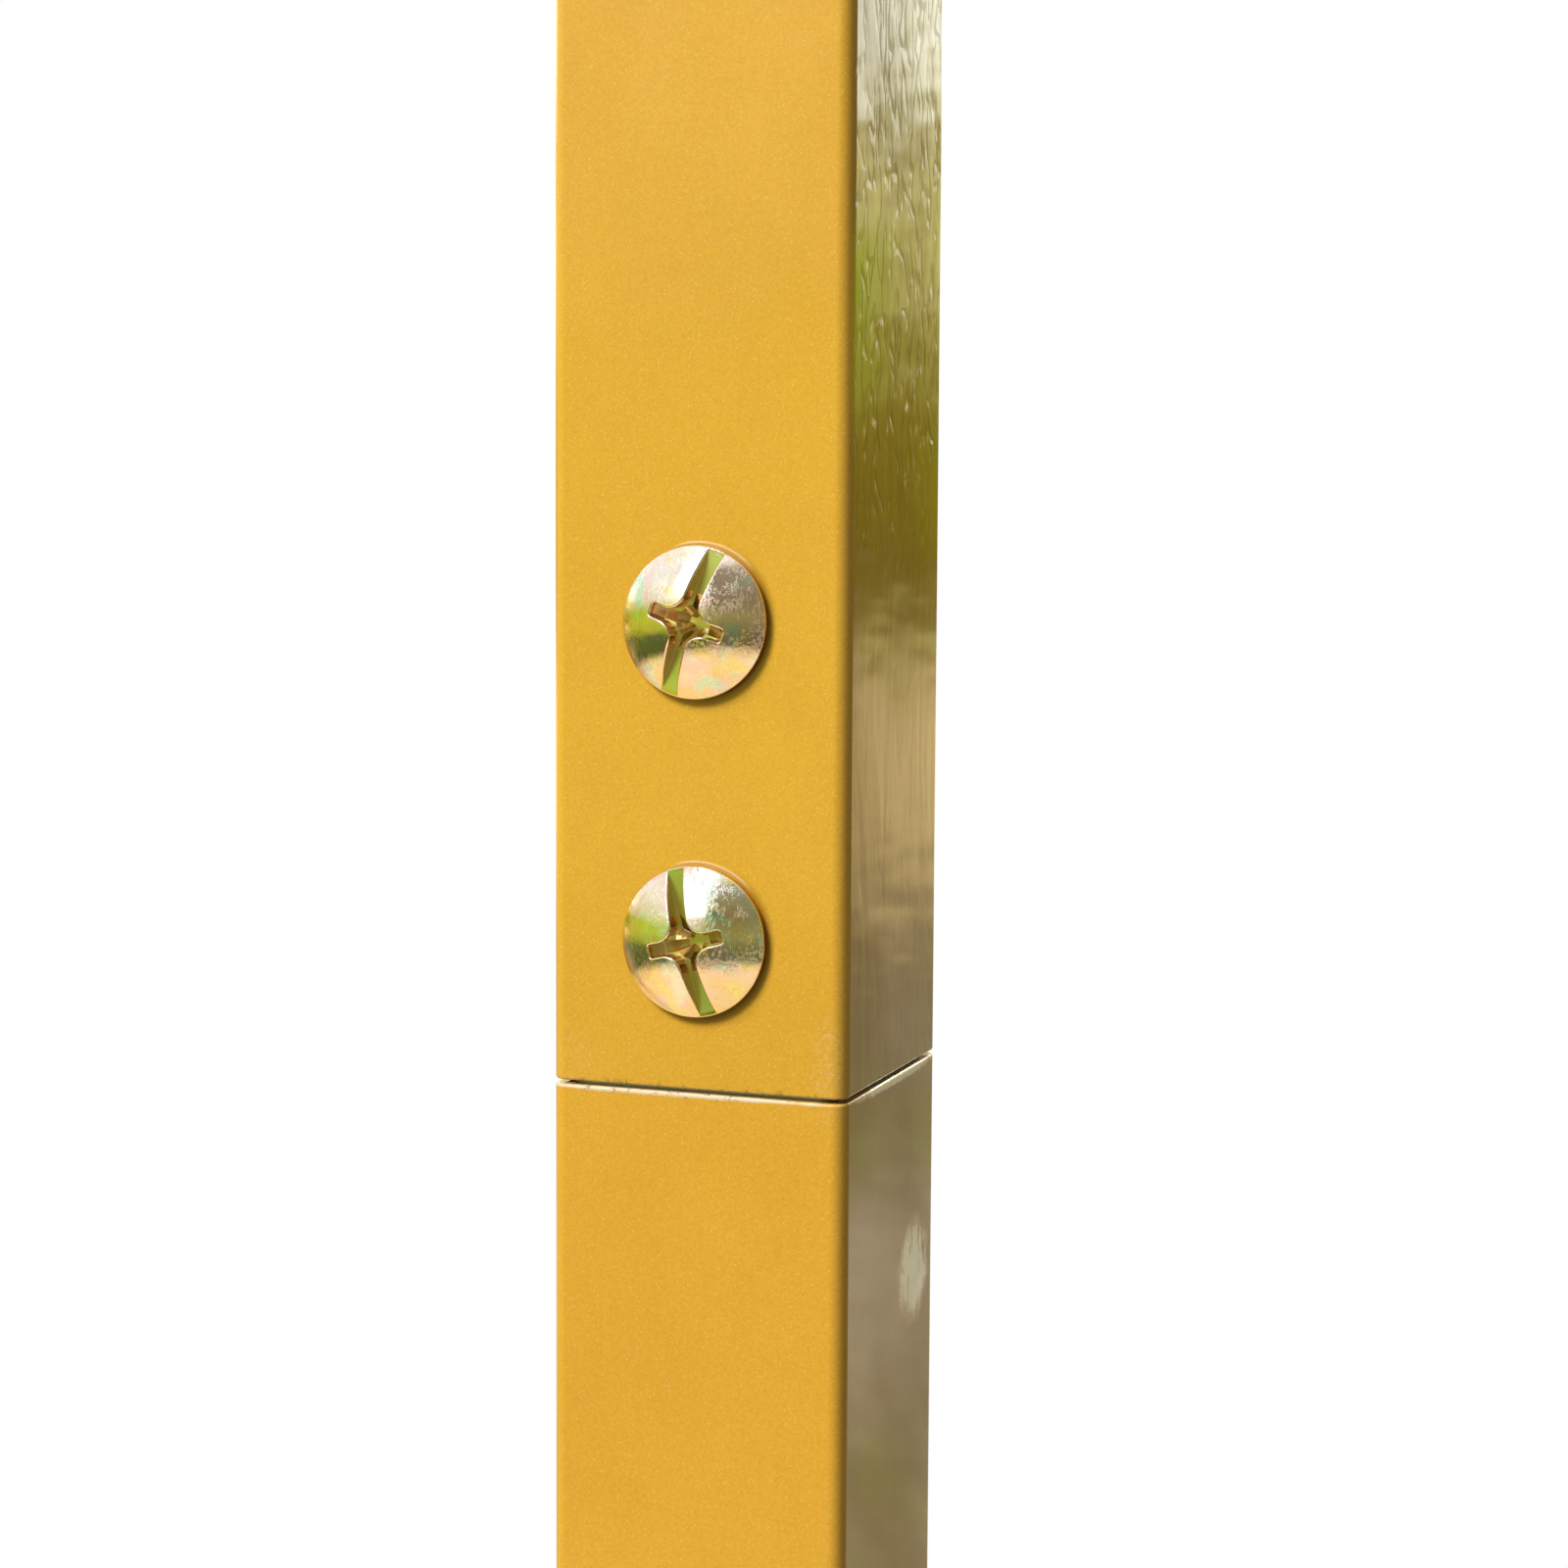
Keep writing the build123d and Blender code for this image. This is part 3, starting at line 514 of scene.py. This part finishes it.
def sign_film(name):
    """Cut black film: smooth, slightly uneven in gloss, with rain marks and hairlines."""
    material, tree, shader = new_finish(name, IOR=1.48)
    place = place_of(tree)
    runs = use(tree, RAIN_RUNS, {"Amount": 0.5})["Mask"]
    colour = blend(tree, runs, (0.012, 0.012, 0.013, 1), (0.05, 0.048, 0.042, 1))
    hairs = use(tree, SCRATCHES, {"Pitch": 0.9 * MM, "Amount": 0.18})["Mask"]
    put(tree, shader["Base Color"], blend(tree, hairs, colour, (0.10, 0.10, 0.10, 1)))
    cloud = noise(tree, place, 60.0, 3.0, 0.6)
    put(tree, shader["Roughness"], rise(tree, cloud, 0.3, 0.7, 0.28, 0.36))
    put(tree, shader["Normal"], relief(tree, cloud, 0.03 * MM))
    return material


CELL = 4 * MM                    # width of the sheeting's sealed cells
CELL_SLANT = 0.58                # how far the cells' seams lean, as a share of their rise


def reflective_sheeting(name):
    """White reflective sheeting: a lattice of small sealed cells under a glossy face."""
    material, tree, shader = new_finish(name, IOR=1.5, Coat_Weight=0.6, Coat_Roughness=0.12)
    place = place_of(tree)
    part = node(tree, "SeparateXYZ", {"Vector": place}).outputs
    seams = None
    for way in (CELL_SLANT, -CELL_SLANT):
        run = calc(tree, "MULTIPLY_ADD", part[2], way, part[0])
        wave = calc(tree, "FRACT", calc(tree, "DIVIDE", run, CELL))
        edge = calc(tree, "ABSOLUTE", calc(tree, "SUBTRACT", wave, 0.5))
        seam = rise(tree, edge, 0.44, 0.49)
        seams = seam if seams is None else calc(tree, "MAXIMUM", seams, seam)
    film = noise(tree, place, 7.0, 4.0, 0.6)
    colour = ramp(tree, film, [(0.3, (0.80, 0.81, 0.80)), (0.7, (0.88, 0.88, 0.865))])
    colour = blend(tree, calc(tree, "MULTIPLY", seams, 0.35), colour, (0.60, 0.61, 0.61, 1))
    runs = use(tree, RAIN_RUNS, {"Amount": 0.22})["Mask"]
    colour = blend(tree, runs, colour, (0.50, 0.49, 0.43, 1))
    hairs = use(tree, SCRATCHES, {"Pitch": 1.6 * MM, "Amount": 0.25})["Mask"]
    colour = blend(tree, hairs, colour, (0.60, 0.60, 0.58, 1))
    put(tree, shader["Base Color"], colour)
    put(tree, shader["Roughness"], rise(tree, noise(tree, place, 60.0, 3.0), 0.3, 0.7, 0.24, 0.36))
    height = calc(tree, "MULTIPLY_ADD", seams, -1.0, calc(tree, "MULTIPLY", film, 0.5))
    put(tree, shader["Normal"], relief(tree, height, 0.03 * MM))
    return material


def moulded_plastic(name, dark, light):
    """Moulded plastic between two tones."""
    material, tree, shader = new_finish(name, IOR=1.48)
    body = use(tree, MOULDED_PLASTIC, {"Dark": (*dark, 1), "Light": (*light, 1)})
    put(tree, shader["Base Color"], body["Colour"])
    put(tree, shader["Roughness"], body["Roughness"])
    put(tree, shader["Normal"], relief(tree, body["Height"], 0.02 * MM))
    return material


# ---- finishes on the nodes ----------------------------------------------------------------------------
def dress(name, material):
    """Gives a CAD node its finish."""
    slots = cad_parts[name].data.materials
    slots.clear()
    slots.append(material)


def screw_seat(name, face):
    """The centre of a screw head's seat, on a face that looks to -Y."""
    low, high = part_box(name)
    return ((low.x + high.x) / 2, face, (low.z + high.z) / 2)


UPPER_YELLOW = (0.770, 0.420, 0.040)
LOWER_YELLOW = (0.800, 0.425, 0.042)
upper_rubs = (                   # patches: centre, reach, speck, streak, cover, strength
    ((HALF - 2 * MM, -HALF, SEAM + 4.5 * MM), (2.6 * MM, 2.5 * MM, 6.5 * MM), 0.30 * MM, 1.3, 0.40, 0.16),
    ((-HALF + 3 * MM, -HALF, SEAM + 3 * MM), (5 * MM, 2.5 * MM, 4 * MM), 0.30 * MM, 1.3, 0.36, 0.09),
)
lower_rubs_and_highlight = (                   # a rub under the corner, then a painted highlight along the front's top edge
    ((HALF - 1 * MM, -HALF, SEAM - 2 * MM), (3 * MM, 2.5 * MM, 1.8 * MM), 0.30 * MM, 1.0, 0.34, 0.12),
    ((-2 * MM, -HALF, SEAM - 0.45 * MM), (24 * MM, 2 * MM, 0.42 * MM), 0.5 * MM, 0.5, 0.90, 0.60),
)
lower_bare = (                   # a worn streak on the right side, its core, and that side's top edge
    ((HALF, 9.5 * MM, SEAM - 27 * MM), (2 * MM, 7.5 * MM, 7.5 * MM), 1.1 * MM, 6.0, 0.66, 1.0),
    ((HALF, 10.5 * MM, SEAM - 28 * MM), (2 * MM, 3.5 * MM, 5.5 * MM), 0.7 * MM, 6.0, 0.80, 1.0),
    ((HALF, 3 * MM, SEAM - 0.6 * MM), (1.2 * MM, 20 * MM, 0.9 * MM), 0.5 * MM, 0.5, 0.90, 1.0),
)
AROUND = (30 * MM, 30 * MM)      # reach across the whole post
upper_grime = (((0, 0, SEAM + 0.2 * MM), (*AROUND, 1.2 * MM), 0.8 * MM, 1.0, 0.36, 0.8),)
lower_grime = (((0, 0, SEAM - 0.2 * MM), (*AROUND, 1.2 * MM), 0.8 * MM, 1.0, 0.34, 0.8),)
heads = [Vector(screw_seat(f"splice_screw_{place}", UPPER_LOW.y)) for place in PLACES]
post_upper = powder_coat("post_coat_upper", UPPER_YELLOW, rubs_and_highlight=upper_rubs, grime=upper_grime, heads=heads,
                         sag_levels=(SEAM + 58 * MM, SEAM + 100 * MM))
post_lower = powder_coat("post_coat_lower", LOWER_YELLOW, rubs_and_highlight=lower_rubs_and_highlight, bare=lower_bare,
                         grime=lower_grime)
base_coat = powder_coat("base_coat", LOWER_YELLOW)
dress("upper_post", post_upper)
dress("lower_post", post_lower)
for name in ("base_plate", "plug_weld_lower", "plug_weld_upper"):
    dress(name, base_coat)
for side in SIDES:
    dress(f"gusset_{side}", base_coat)
steel = galvanised("galvanised_steel")
for name in ("splice_sleeve", "splice_nut_lower", "splice_nut_upper"):
    dress(name, steel)
SEAT_FACES = {"splice_screw": UPPER_LOW.y, "sign_screw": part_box("sign_nylon_washer_upper")[0].y}
for kind, face in SEAT_FACES.items():
    for place in PLACES:
        name = f"{kind}_{place}"
        dress(name, iridescent_zinc(f"zinc_{name}", screw_seat(name, face)))
FAR_OFF = (0.0, 10.0, 0.0)       # no head is centred here, so plain hardware gets no recess
hardware_zinc = iridescent_zinc("zinc_hardware", FAR_OFF)
nylon = moulded_plastic("natural_nylon", (0.62, 0.60, 0.52), (0.72, 0.70, 0.63))
blue_nylon = moulded_plastic("lock_ring_nylon", (0.04, 0.10, 0.32), (0.06, 0.14, 0.40))
for place in PLACES:
    dress(f"sign_nylon_washer_{place}", nylon)
    dress(f"sign_steel_washer_{place}", hardware_zinc)
    dress(f"sign_lock_nut_{place}", hardware_zinc)
    dress(f"sign_lock_ring_{place}", blue_nylon)
dress("post_cap", moulded_plastic("cap_plastic", (0.016, 0.016, 0.017), (0.03, 0.03, 0.031)))
dress("sign_panel", sheet_aluminium("sign_aluminium"))
dress("sign_sheeting", reflective_sheeting("sign_sheeting_white"))
film = sign_film("sign_film_black")
dress("sign_border", film)
dress("sign_arrow", film)


# ---- weld beads at the base ---------------------------------------------------------------------------
RIPPLE = 2.2 * MM
GUSSET_START = 10.5 * MM         # the gusset's beads begin this far from the corner under it
RIPPLE_STEPS = ((0.0, 0.90), (0.35, 1.0), (0.7, 0.96), (0.92, 0.86))     # (share of a ripple, swell)
BEAD_SIDES = 12
FOOT_BEAD_R = 3.6 * MM
FOOT_BEND_R = 2.5 * MM           # turn of the foot's bead at the post's corners
GUSSET_BEAD_R = 2.0 * MM
FOOT_INSET = 1.0 * MM            # a bead's middle stands this far out of the corner it fills
GUSSET_INSET = 0.7 * MM
GUSSET_STOP = 0.2 * MM           # the gusset's beads stop this far short of the CAD weld's ends


def straight(start, end):
    """Frames along a straight bead, four to a ripple, each a matrix whose +Z runs along the bead."""
    way = end - start
    turn = way.to_track_quat("Z", "Y").to_matrix().to_4x4()
    count = round(way.length / RIPPLE)
    return [Matrix.Translation(start + way * ((index + share) / count)) @ turn @ Matrix.Scale(swell, 4)
            for index in range(count) for share, swell in RIPPLE_STEPS]


def run_bead(shape, frames, radius):
    """Lays a closed rod of weld metal, extruded from frame to frame."""
    start = bmesh.ops.create_circle(shape, cap_ends=True, segments=BEAD_SIDES, radius=radius,
                                    matrix=frames[0])
    last = start["verts"][0].link_faces[0]
    for before, after in zip(frames, frames[1:]):
        grown = bmesh.ops.extrude_face_region(shape, geom=[last])["geom"]
        last = next(item for item in grown if isinstance(item, bmesh.types.BMFace))
        bmesh.ops.transform(shape, matrix=after @ before.inverted(), verts=last.verts)


def weld_piece(name, runs, node_name):
    """A new piece made of beads, which stands in for a CAD weld. Runs are lists of frames with a radius."""
    mesh = bpy.data.meshes.new(name)
    shape = bmesh.new()
    for frames, radius in runs:
        run_bead(shape, frames, radius)
    bmesh.ops.recalc_face_normals(shape, faces=shape.faces)
    for face in shape.faces:
        face.smooth = True
    shape.to_mesh(mesh)
    shape.free()
    piece = bpy.data.objects.new(name, mesh)
    bpy.context.scene.collection.objects.link(piece)
    mesh.materials.append(base_coat)
    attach(piece, "root")
    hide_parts(node_name)


def post_bead():
    """Frames of the bead around the foot of the post, with tight turns at the corners. It starts along the
    front and laps its own start."""
    out = HALF + FOOT_INSET
    run = out - FOOT_BEND_R
    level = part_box("base_post_weld")[0].z + FOOT_INSET
    heading = Vector((1, 0, 0)).to_track_quat("Z", "Y").to_matrix().to_4x4()
    side = straight(Vector((-run, -out, level)), Vector((run, -out, level)))
    bends = [Matrix.Translation((run, -run, level)) @ Matrix.Rotation(radians(angle), 4, "Z")
             @ Matrix.Translation((0, -FOOT_BEND_R, 0)) @ heading for angle in range(0, 90, 15)]
    frames = []
    for quarter in range(4):
        turn = Matrix.Rotation(radians(90 * quarter), 4, "Z")
        frames += [turn @ here for here in side + bends]
    return frames + side[:3]


def gusset_beads(side):
    """The four beads of one gusset: two along the plate and two up the post."""
    low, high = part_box(f"gusset_welds_{side}")
    blade_low, blade_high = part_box(f"gusset_{side}")
    quarter = SIDES.index(side)
    turn = Matrix.Rotation(radians(90 * quarter), 4, "Z")
    half_blade = (blade_high.y - blade_low.y if quarter % 2 == 0 else blade_high.x - blade_low.x) / 2
    reach = max(abs(low.x), abs(high.x), abs(low.y), abs(high.y))
    foot = low.z + GUSSET_INSET
    wall = HALF + GUSSET_INSET
    runs = []
    for hand in (-1, 1):
        beside = hand * (half_blade + GUSSET_INSET)
        flat = straight(Vector((HALF + GUSSET_START, beside, foot)),
                        Vector((reach - GUSSET_STOP, beside, foot)))
        up = straight(Vector((wall, beside, low.z + GUSSET_START)),
                      Vector((wall, beside, high.z - GUSSET_STOP)))
        runs += [([turn @ here for here in frames], GUSSET_BEAD_R) for frames in (flat, up)]
    return runs


def build_welds():
    """The foot's bead and the four gussets' beads."""
    weld_piece("post_foot_bead", [(post_bead(), FOOT_BEAD_R)], "base_post_weld")
    for side in SIDES:
        weld_piece(f"gusset_beads_{side}", gusset_beads(side), f"gusset_welds_{side}")


# ---- floor, surroundings and light --------------------------------------------------------------------
NEAR_FLOOR = 0.8                 # out to here the floor is pale and takes shadows
FAR_FLOOR = 1.7                  # from here on it is plain white


def floor():
    """A wide pale floor whose light doesn't reach the post."""
    mesh = bpy.data.meshes.new("floor")
    shape = bmesh.new()
    bmesh.ops.create_circle(shape, cap_ends=True, segments=96, radius=30.0)
    shape.to_mesh(mesh)
    shape.free()
    ground = bpy.data.objects.new("floor", mesh)
    bpy.context.scene.collection.objects.link(ground)
    ground.visible_diffuse = False
    ground.visible_glossy = False
    material, tree, shader = new_finish("floor_white", Roughness=0.9, Specular_IOR_Level=0.0)
    far = vector_calc(tree, "LENGTH", place_of(tree)).outputs["Value"]
    near = rise(tree, far, NEAR_FLOOR, FAR_FLOOR, 1.0, 0.0)
    put(tree, shader["Base Color"], blend(tree, near, (0, 0, 0, 1), (0.80, 0.80, 0.80, 1)))
    put(tree, shader["Emission Color"], blend(tree, near, (1, 1, 1, 1), (0.32, 0.32, 0.32, 1)))
    shader["Emission Strength"].default_value = 1.0
    mesh.materials.append(material)


BEHIND = [   # (degrees above the horizon, colour) of what lies behind the post
    (-40, (0.42, 0.35, 0.22)),
    (-20, (0.46, 0.40, 0.27)),
    (-15, (0.66, 0.60, 0.44)),
    (-12, (0.42, 0.38, 0.27)),
    (-9, (0.30, 0.27, 0.19)),
    (-7.0, (0.30, 0.26, 0.18)),
    (-6.2, (0.98, 0.76, 0.36)),
    (-5, (1.16, 0.88, 0.43)),
    (-2.5, (1.22, 0.92, 0.46)),
    (-0.9, (1.08, 0.83, 0.41)),
    (-0.3, (0.17, 0.11, 0.02)),
    (3, (0.27, 0.24, 0.01)),
    (5.5, (0.40, 0.35, 0.04)),
    (7.0, (0.80, 0.72, 0.25)),
    (8.4, (1.30, 1.22, 0.45)),
    (9.8, (1.15, 1.05, 0.48)),
    (10.5, (0.46, 0.41, 0.10)),
    (11.3, (0.58, 0.53, 0.17)),
    (12.0, (1.75, 1.75, 1.20)),
    (13.2, (2.3, 2.3, 1.95)),
    (30, (1.8, 1.9, 1.9)),
]
LEFT = [     # the same for what lies to the left of it
    (-80, (1.10, 0.86, 0.64)),
    (-34, (1.24, 0.95, 0.68)),
    (-27, (0.85, 0.72, 0.50)),
    (-23, (0.10, 0.13, 0.06)),
    (-10, (0.12, 0.17, 0.05)),
    (-6, (0.46, 0.55, 0.06)),
    (0, (0.58, 0.64, 0.07)),
    (6, (0.46, 0.62, 0.06)),
    (10, (0.70, 0.76, 0.40)),
    (17, (0.95, 0.84, 0.72)),
    (25, (1.06, 0.94, 0.92)),
    (80, (1.12, 1.02, 1.00)),
]
AHEAD = [    # the same for what lies in front of it
    (-80, (1.02, 0.86, 0.64)),
    (-34, (1.10, 0.90, 0.66)),
    (-26, (0.85, 0.72, 0.50)),
    (-22, (0.14, 0.14, 0.08)),
    (-8, (0.20, 0.19, 0.11)),
    (4, (0.30, 0.32, 0.12)),
    (20, (0.24, 0.22, 0.13)),
    (52, (0.34, 0.33, 0.24)),
    (62, (1.00, 1.02, 1.00)),
    (80, (1.06, 1.06, 1.06)),
]
SWEEP = 80.0                     # the bands reach this many degrees up and down
HEDGE_SHADE = (0.22, 0.19, 0.09, 1)
HEDGE_GREEN = (0.62, 0.74, 0.06, 1)
OPENING = (3.2, 3.15, 3.1, 1)
OPENING_TURN = -160.0            # degrees from straight behind
KEY_WAY = (-0.42, -0.60, 0.68)
KEY_DISTANCE = 5.0


def band(tree, height, stops):
    """A ramp over the height of a direction, from stops in degrees."""
    return ramp(tree, height, [((angle + SWEEP) / (2 * SWEEP), colour) for angle, colour in stops], "LINEAR")


def shaded(tree, colour, field, dark, light, share=1.0):
    """A colour multiplied by a tone that goes from dark to light over the middle of a noise."""
    tone = blend(tree, rise(tree, field, 0.35, 0.65), (*dark, 1), (*light, 1))
    return blend(tree, share, colour, tone, "MULTIPLY")


def scenery(tree, way, part):
    """What the gloss mirrors in each direction: sky, hedge and ground in bands with ragged edges, and a
    bright opening ahead on the left."""
    angle = calc(tree, "DEGREES", calc(tree, "ARCSINE", part[2]))
    turn = calc(tree, "DEGREES", calc(tree, "ARCTAN2", part[0], part[1]))
    leaves = noise(tree, stretched(tree, way, (9.0, 9.0, 4.0)), 1.0, 4.0, 0.6)
    twigs = noise(tree, stretched(tree, way, (260.0, 260.0, 120.0)), 1.0, 1.5, 0.5)
    ragged = calc(tree, "MULTIPLY_ADD", leaves, 5.0, calc(tree, "MULTIPLY_ADD", twigs, 9.0, -7.0))
    height = calc(tree, "DIVIDE", calc(tree, "ADD", calc(tree, "ADD", angle, ragged), SWEEP), 2 * SWEEP)
    to_left = rise(tree, part[0], 0.06, -0.04)
    front = blend(tree, to_left, band(tree, height, AHEAD), band(tree, height, LEFT))
    to_right = rise(tree, part[0], 0.34, 0.60)
    behind = blend(tree, to_right, band(tree, height, BEHIND), HEDGE_SHADE)
    hedge_end = calc(tree, "MULTIPLY", rise(tree, angle, 4.0, 6.0), rise(tree, angle, 10.0, 8.5))
    hedge_end = calc(tree, "MULTIPLY", hedge_end, rise(tree, turn, 17.3, 18.1))
    behind = blend(tree, hedge_end, behind, HEDGE_GREEN)
    trunks = noise(tree, stretched(tree, way, (42.0, 42.0, 3.0)), 1.0, 3.0, 0.6)
    behind = shaded(tree, behind, trunks, (0.62, 0.62, 0.60), (1.32, 1.30, 1.30))
    front = shaded(tree, front, trunks, (0.62, 0.62, 0.60), (1.32, 1.30, 1.30), 0.4)
    seen = blend(tree, rise(tree, part[1], -0.1, 0.2), front, behind)
    stems = noise(tree, stretched(tree, way, (240.0, 240.0, 16.0)), 1.0, 2.0, 0.6)
    seen = shaded(tree, seen, stems, (0.85, 0.85, 0.83), (1.13, 1.12, 1.11))
    clumps = noise(tree, stretched(tree, way, (30.0, 30.0, 12.0), shift=(2.0, 4.0, 3.0)), 1.0, 2.0, 0.5)
    greener = blend(tree, rise(tree, clumps, 0.50, 0.70), (1.0, 1.0, 1.0, 1), (0.82, 1.02, 0.55, 1))
    seen = blend(tree, 1.0, seen, greener, "MULTIPLY")
    off_middle = calc(tree, "ABSOLUTE", calc(tree, "SUBTRACT", turn, OPENING_TURN))
    opening = calc(tree, "MULTIPLY", rise(tree, off_middle, 26.0, 12.0), rise(tree, angle, 18.0, 28.0))
    return blend(tree, opening, seen, OPENING)


def soft_fill(tree, way, part):
    """The light that comes from all round, warmer from below and stronger from the front left."""
    fill = blend(tree, rise(tree, part[2], -0.6, 0.6), (0.60, 0.52, 0.38, 1), (1.0, 1.0, 0.98, 1))
    open_side = vector_calc(tree, "DOT_PRODUCT", way, (-0.6, -0.8, 0.0)).outputs["Value"]
    level = rise(tree, open_side, -0.3, 0.8, 0.20, 0.45)
    fill = vector_calc(tree, "SCALE", fill)
    put(tree, fill.inputs["Scale"], level)
    return fill.outputs[0]


def surroundings():
    """Plain white to the camera, the scenery to the gloss, and the soft fill to everything else."""
    world = bpy.data.worlds.new("surroundings")
    world.use_nodes = True
    bpy.context.scene.world = world
    tree = world.node_tree
    tree.nodes.clear()
    way = node(tree, "TexCoord").outputs["Generated"]
    part = node(tree, "SeparateXYZ", {"Vector": way}).outputs
    rays = node(tree, "LightPath").outputs
    first_bounce = calc(tree, "LESS_THAN", rays["Diffuse Depth"], 0.5)
    mirrored = calc(tree, "MULTIPLY", rays["Is Glossy Ray"], first_bounce)
    colour = blend(tree, mirrored, soft_fill(tree, way, part), scenery(tree, way, part))
    colour = blend(tree, rays["Is Camera Ray"], colour, (1, 1, 1, 1))
    back = node(tree, "Background", {"Color": colour, "Strength": 1.0})
    out = tree.nodes.new("ShaderNodeOutputWorld")
    tree.links.new(back.outputs[0], out.inputs[0])


def key_light():
    """A square soft light, high at the front left. The gloss doesn't mirror it, because the scenery's bright
    opening does its work there."""
    lamp = bpy.data.lights.new("key", "AREA")
    lamp.size = 1.6
    lamp.energy = 306.0
    lamp.color = (1.0, 0.985, 0.96)
    holder = bpy.data.objects.new("key", lamp)
    back = Vector(KEY_WAY).normalized()
    holder.location = Vector((0.0, 0.0, SEAM)) + back * KEY_DISTANCE
    holder.rotation_mode = "QUATERNION"
    holder.rotation_quaternion = back.to_track_quat("Z", "Y")
    holder.visible_glossy = False
    bpy.context.scene.collection.objects.link(holder)


# ---- camera -------------------------------------------------------------------------------------------
def camera():
    """Close to the splice, a little to its right and above it."""
    lens = bpy.data.cameras.new("camera")
    lens.sensor_width = 36.0
    lens.lens = 54.73
    holder = bpy.data.objects.new("camera", lens)
    bpy.context.scene.collection.objects.link(holder)
    yaw, pitch, roll = radians(19.88), radians(-3.83), radians(0.327)
    aim = Matrix.Rotation(yaw, 4, "Z") @ Matrix.Rotation(radians(90) + pitch, 4, "X")
    stand = Matrix.Translation((106.2 * MM, -281.8 * MM, SEAM + 56.1 * MM))
    holder.matrix_world = stand @ aim @ Matrix.Rotation(roll, 4, "Z")
    bpy.context.scene.camera = holder


build_welds()
floor()
surroundings()
key_light()
camera()
bpy.context.scene.view_settings.view_transform = "Standard"
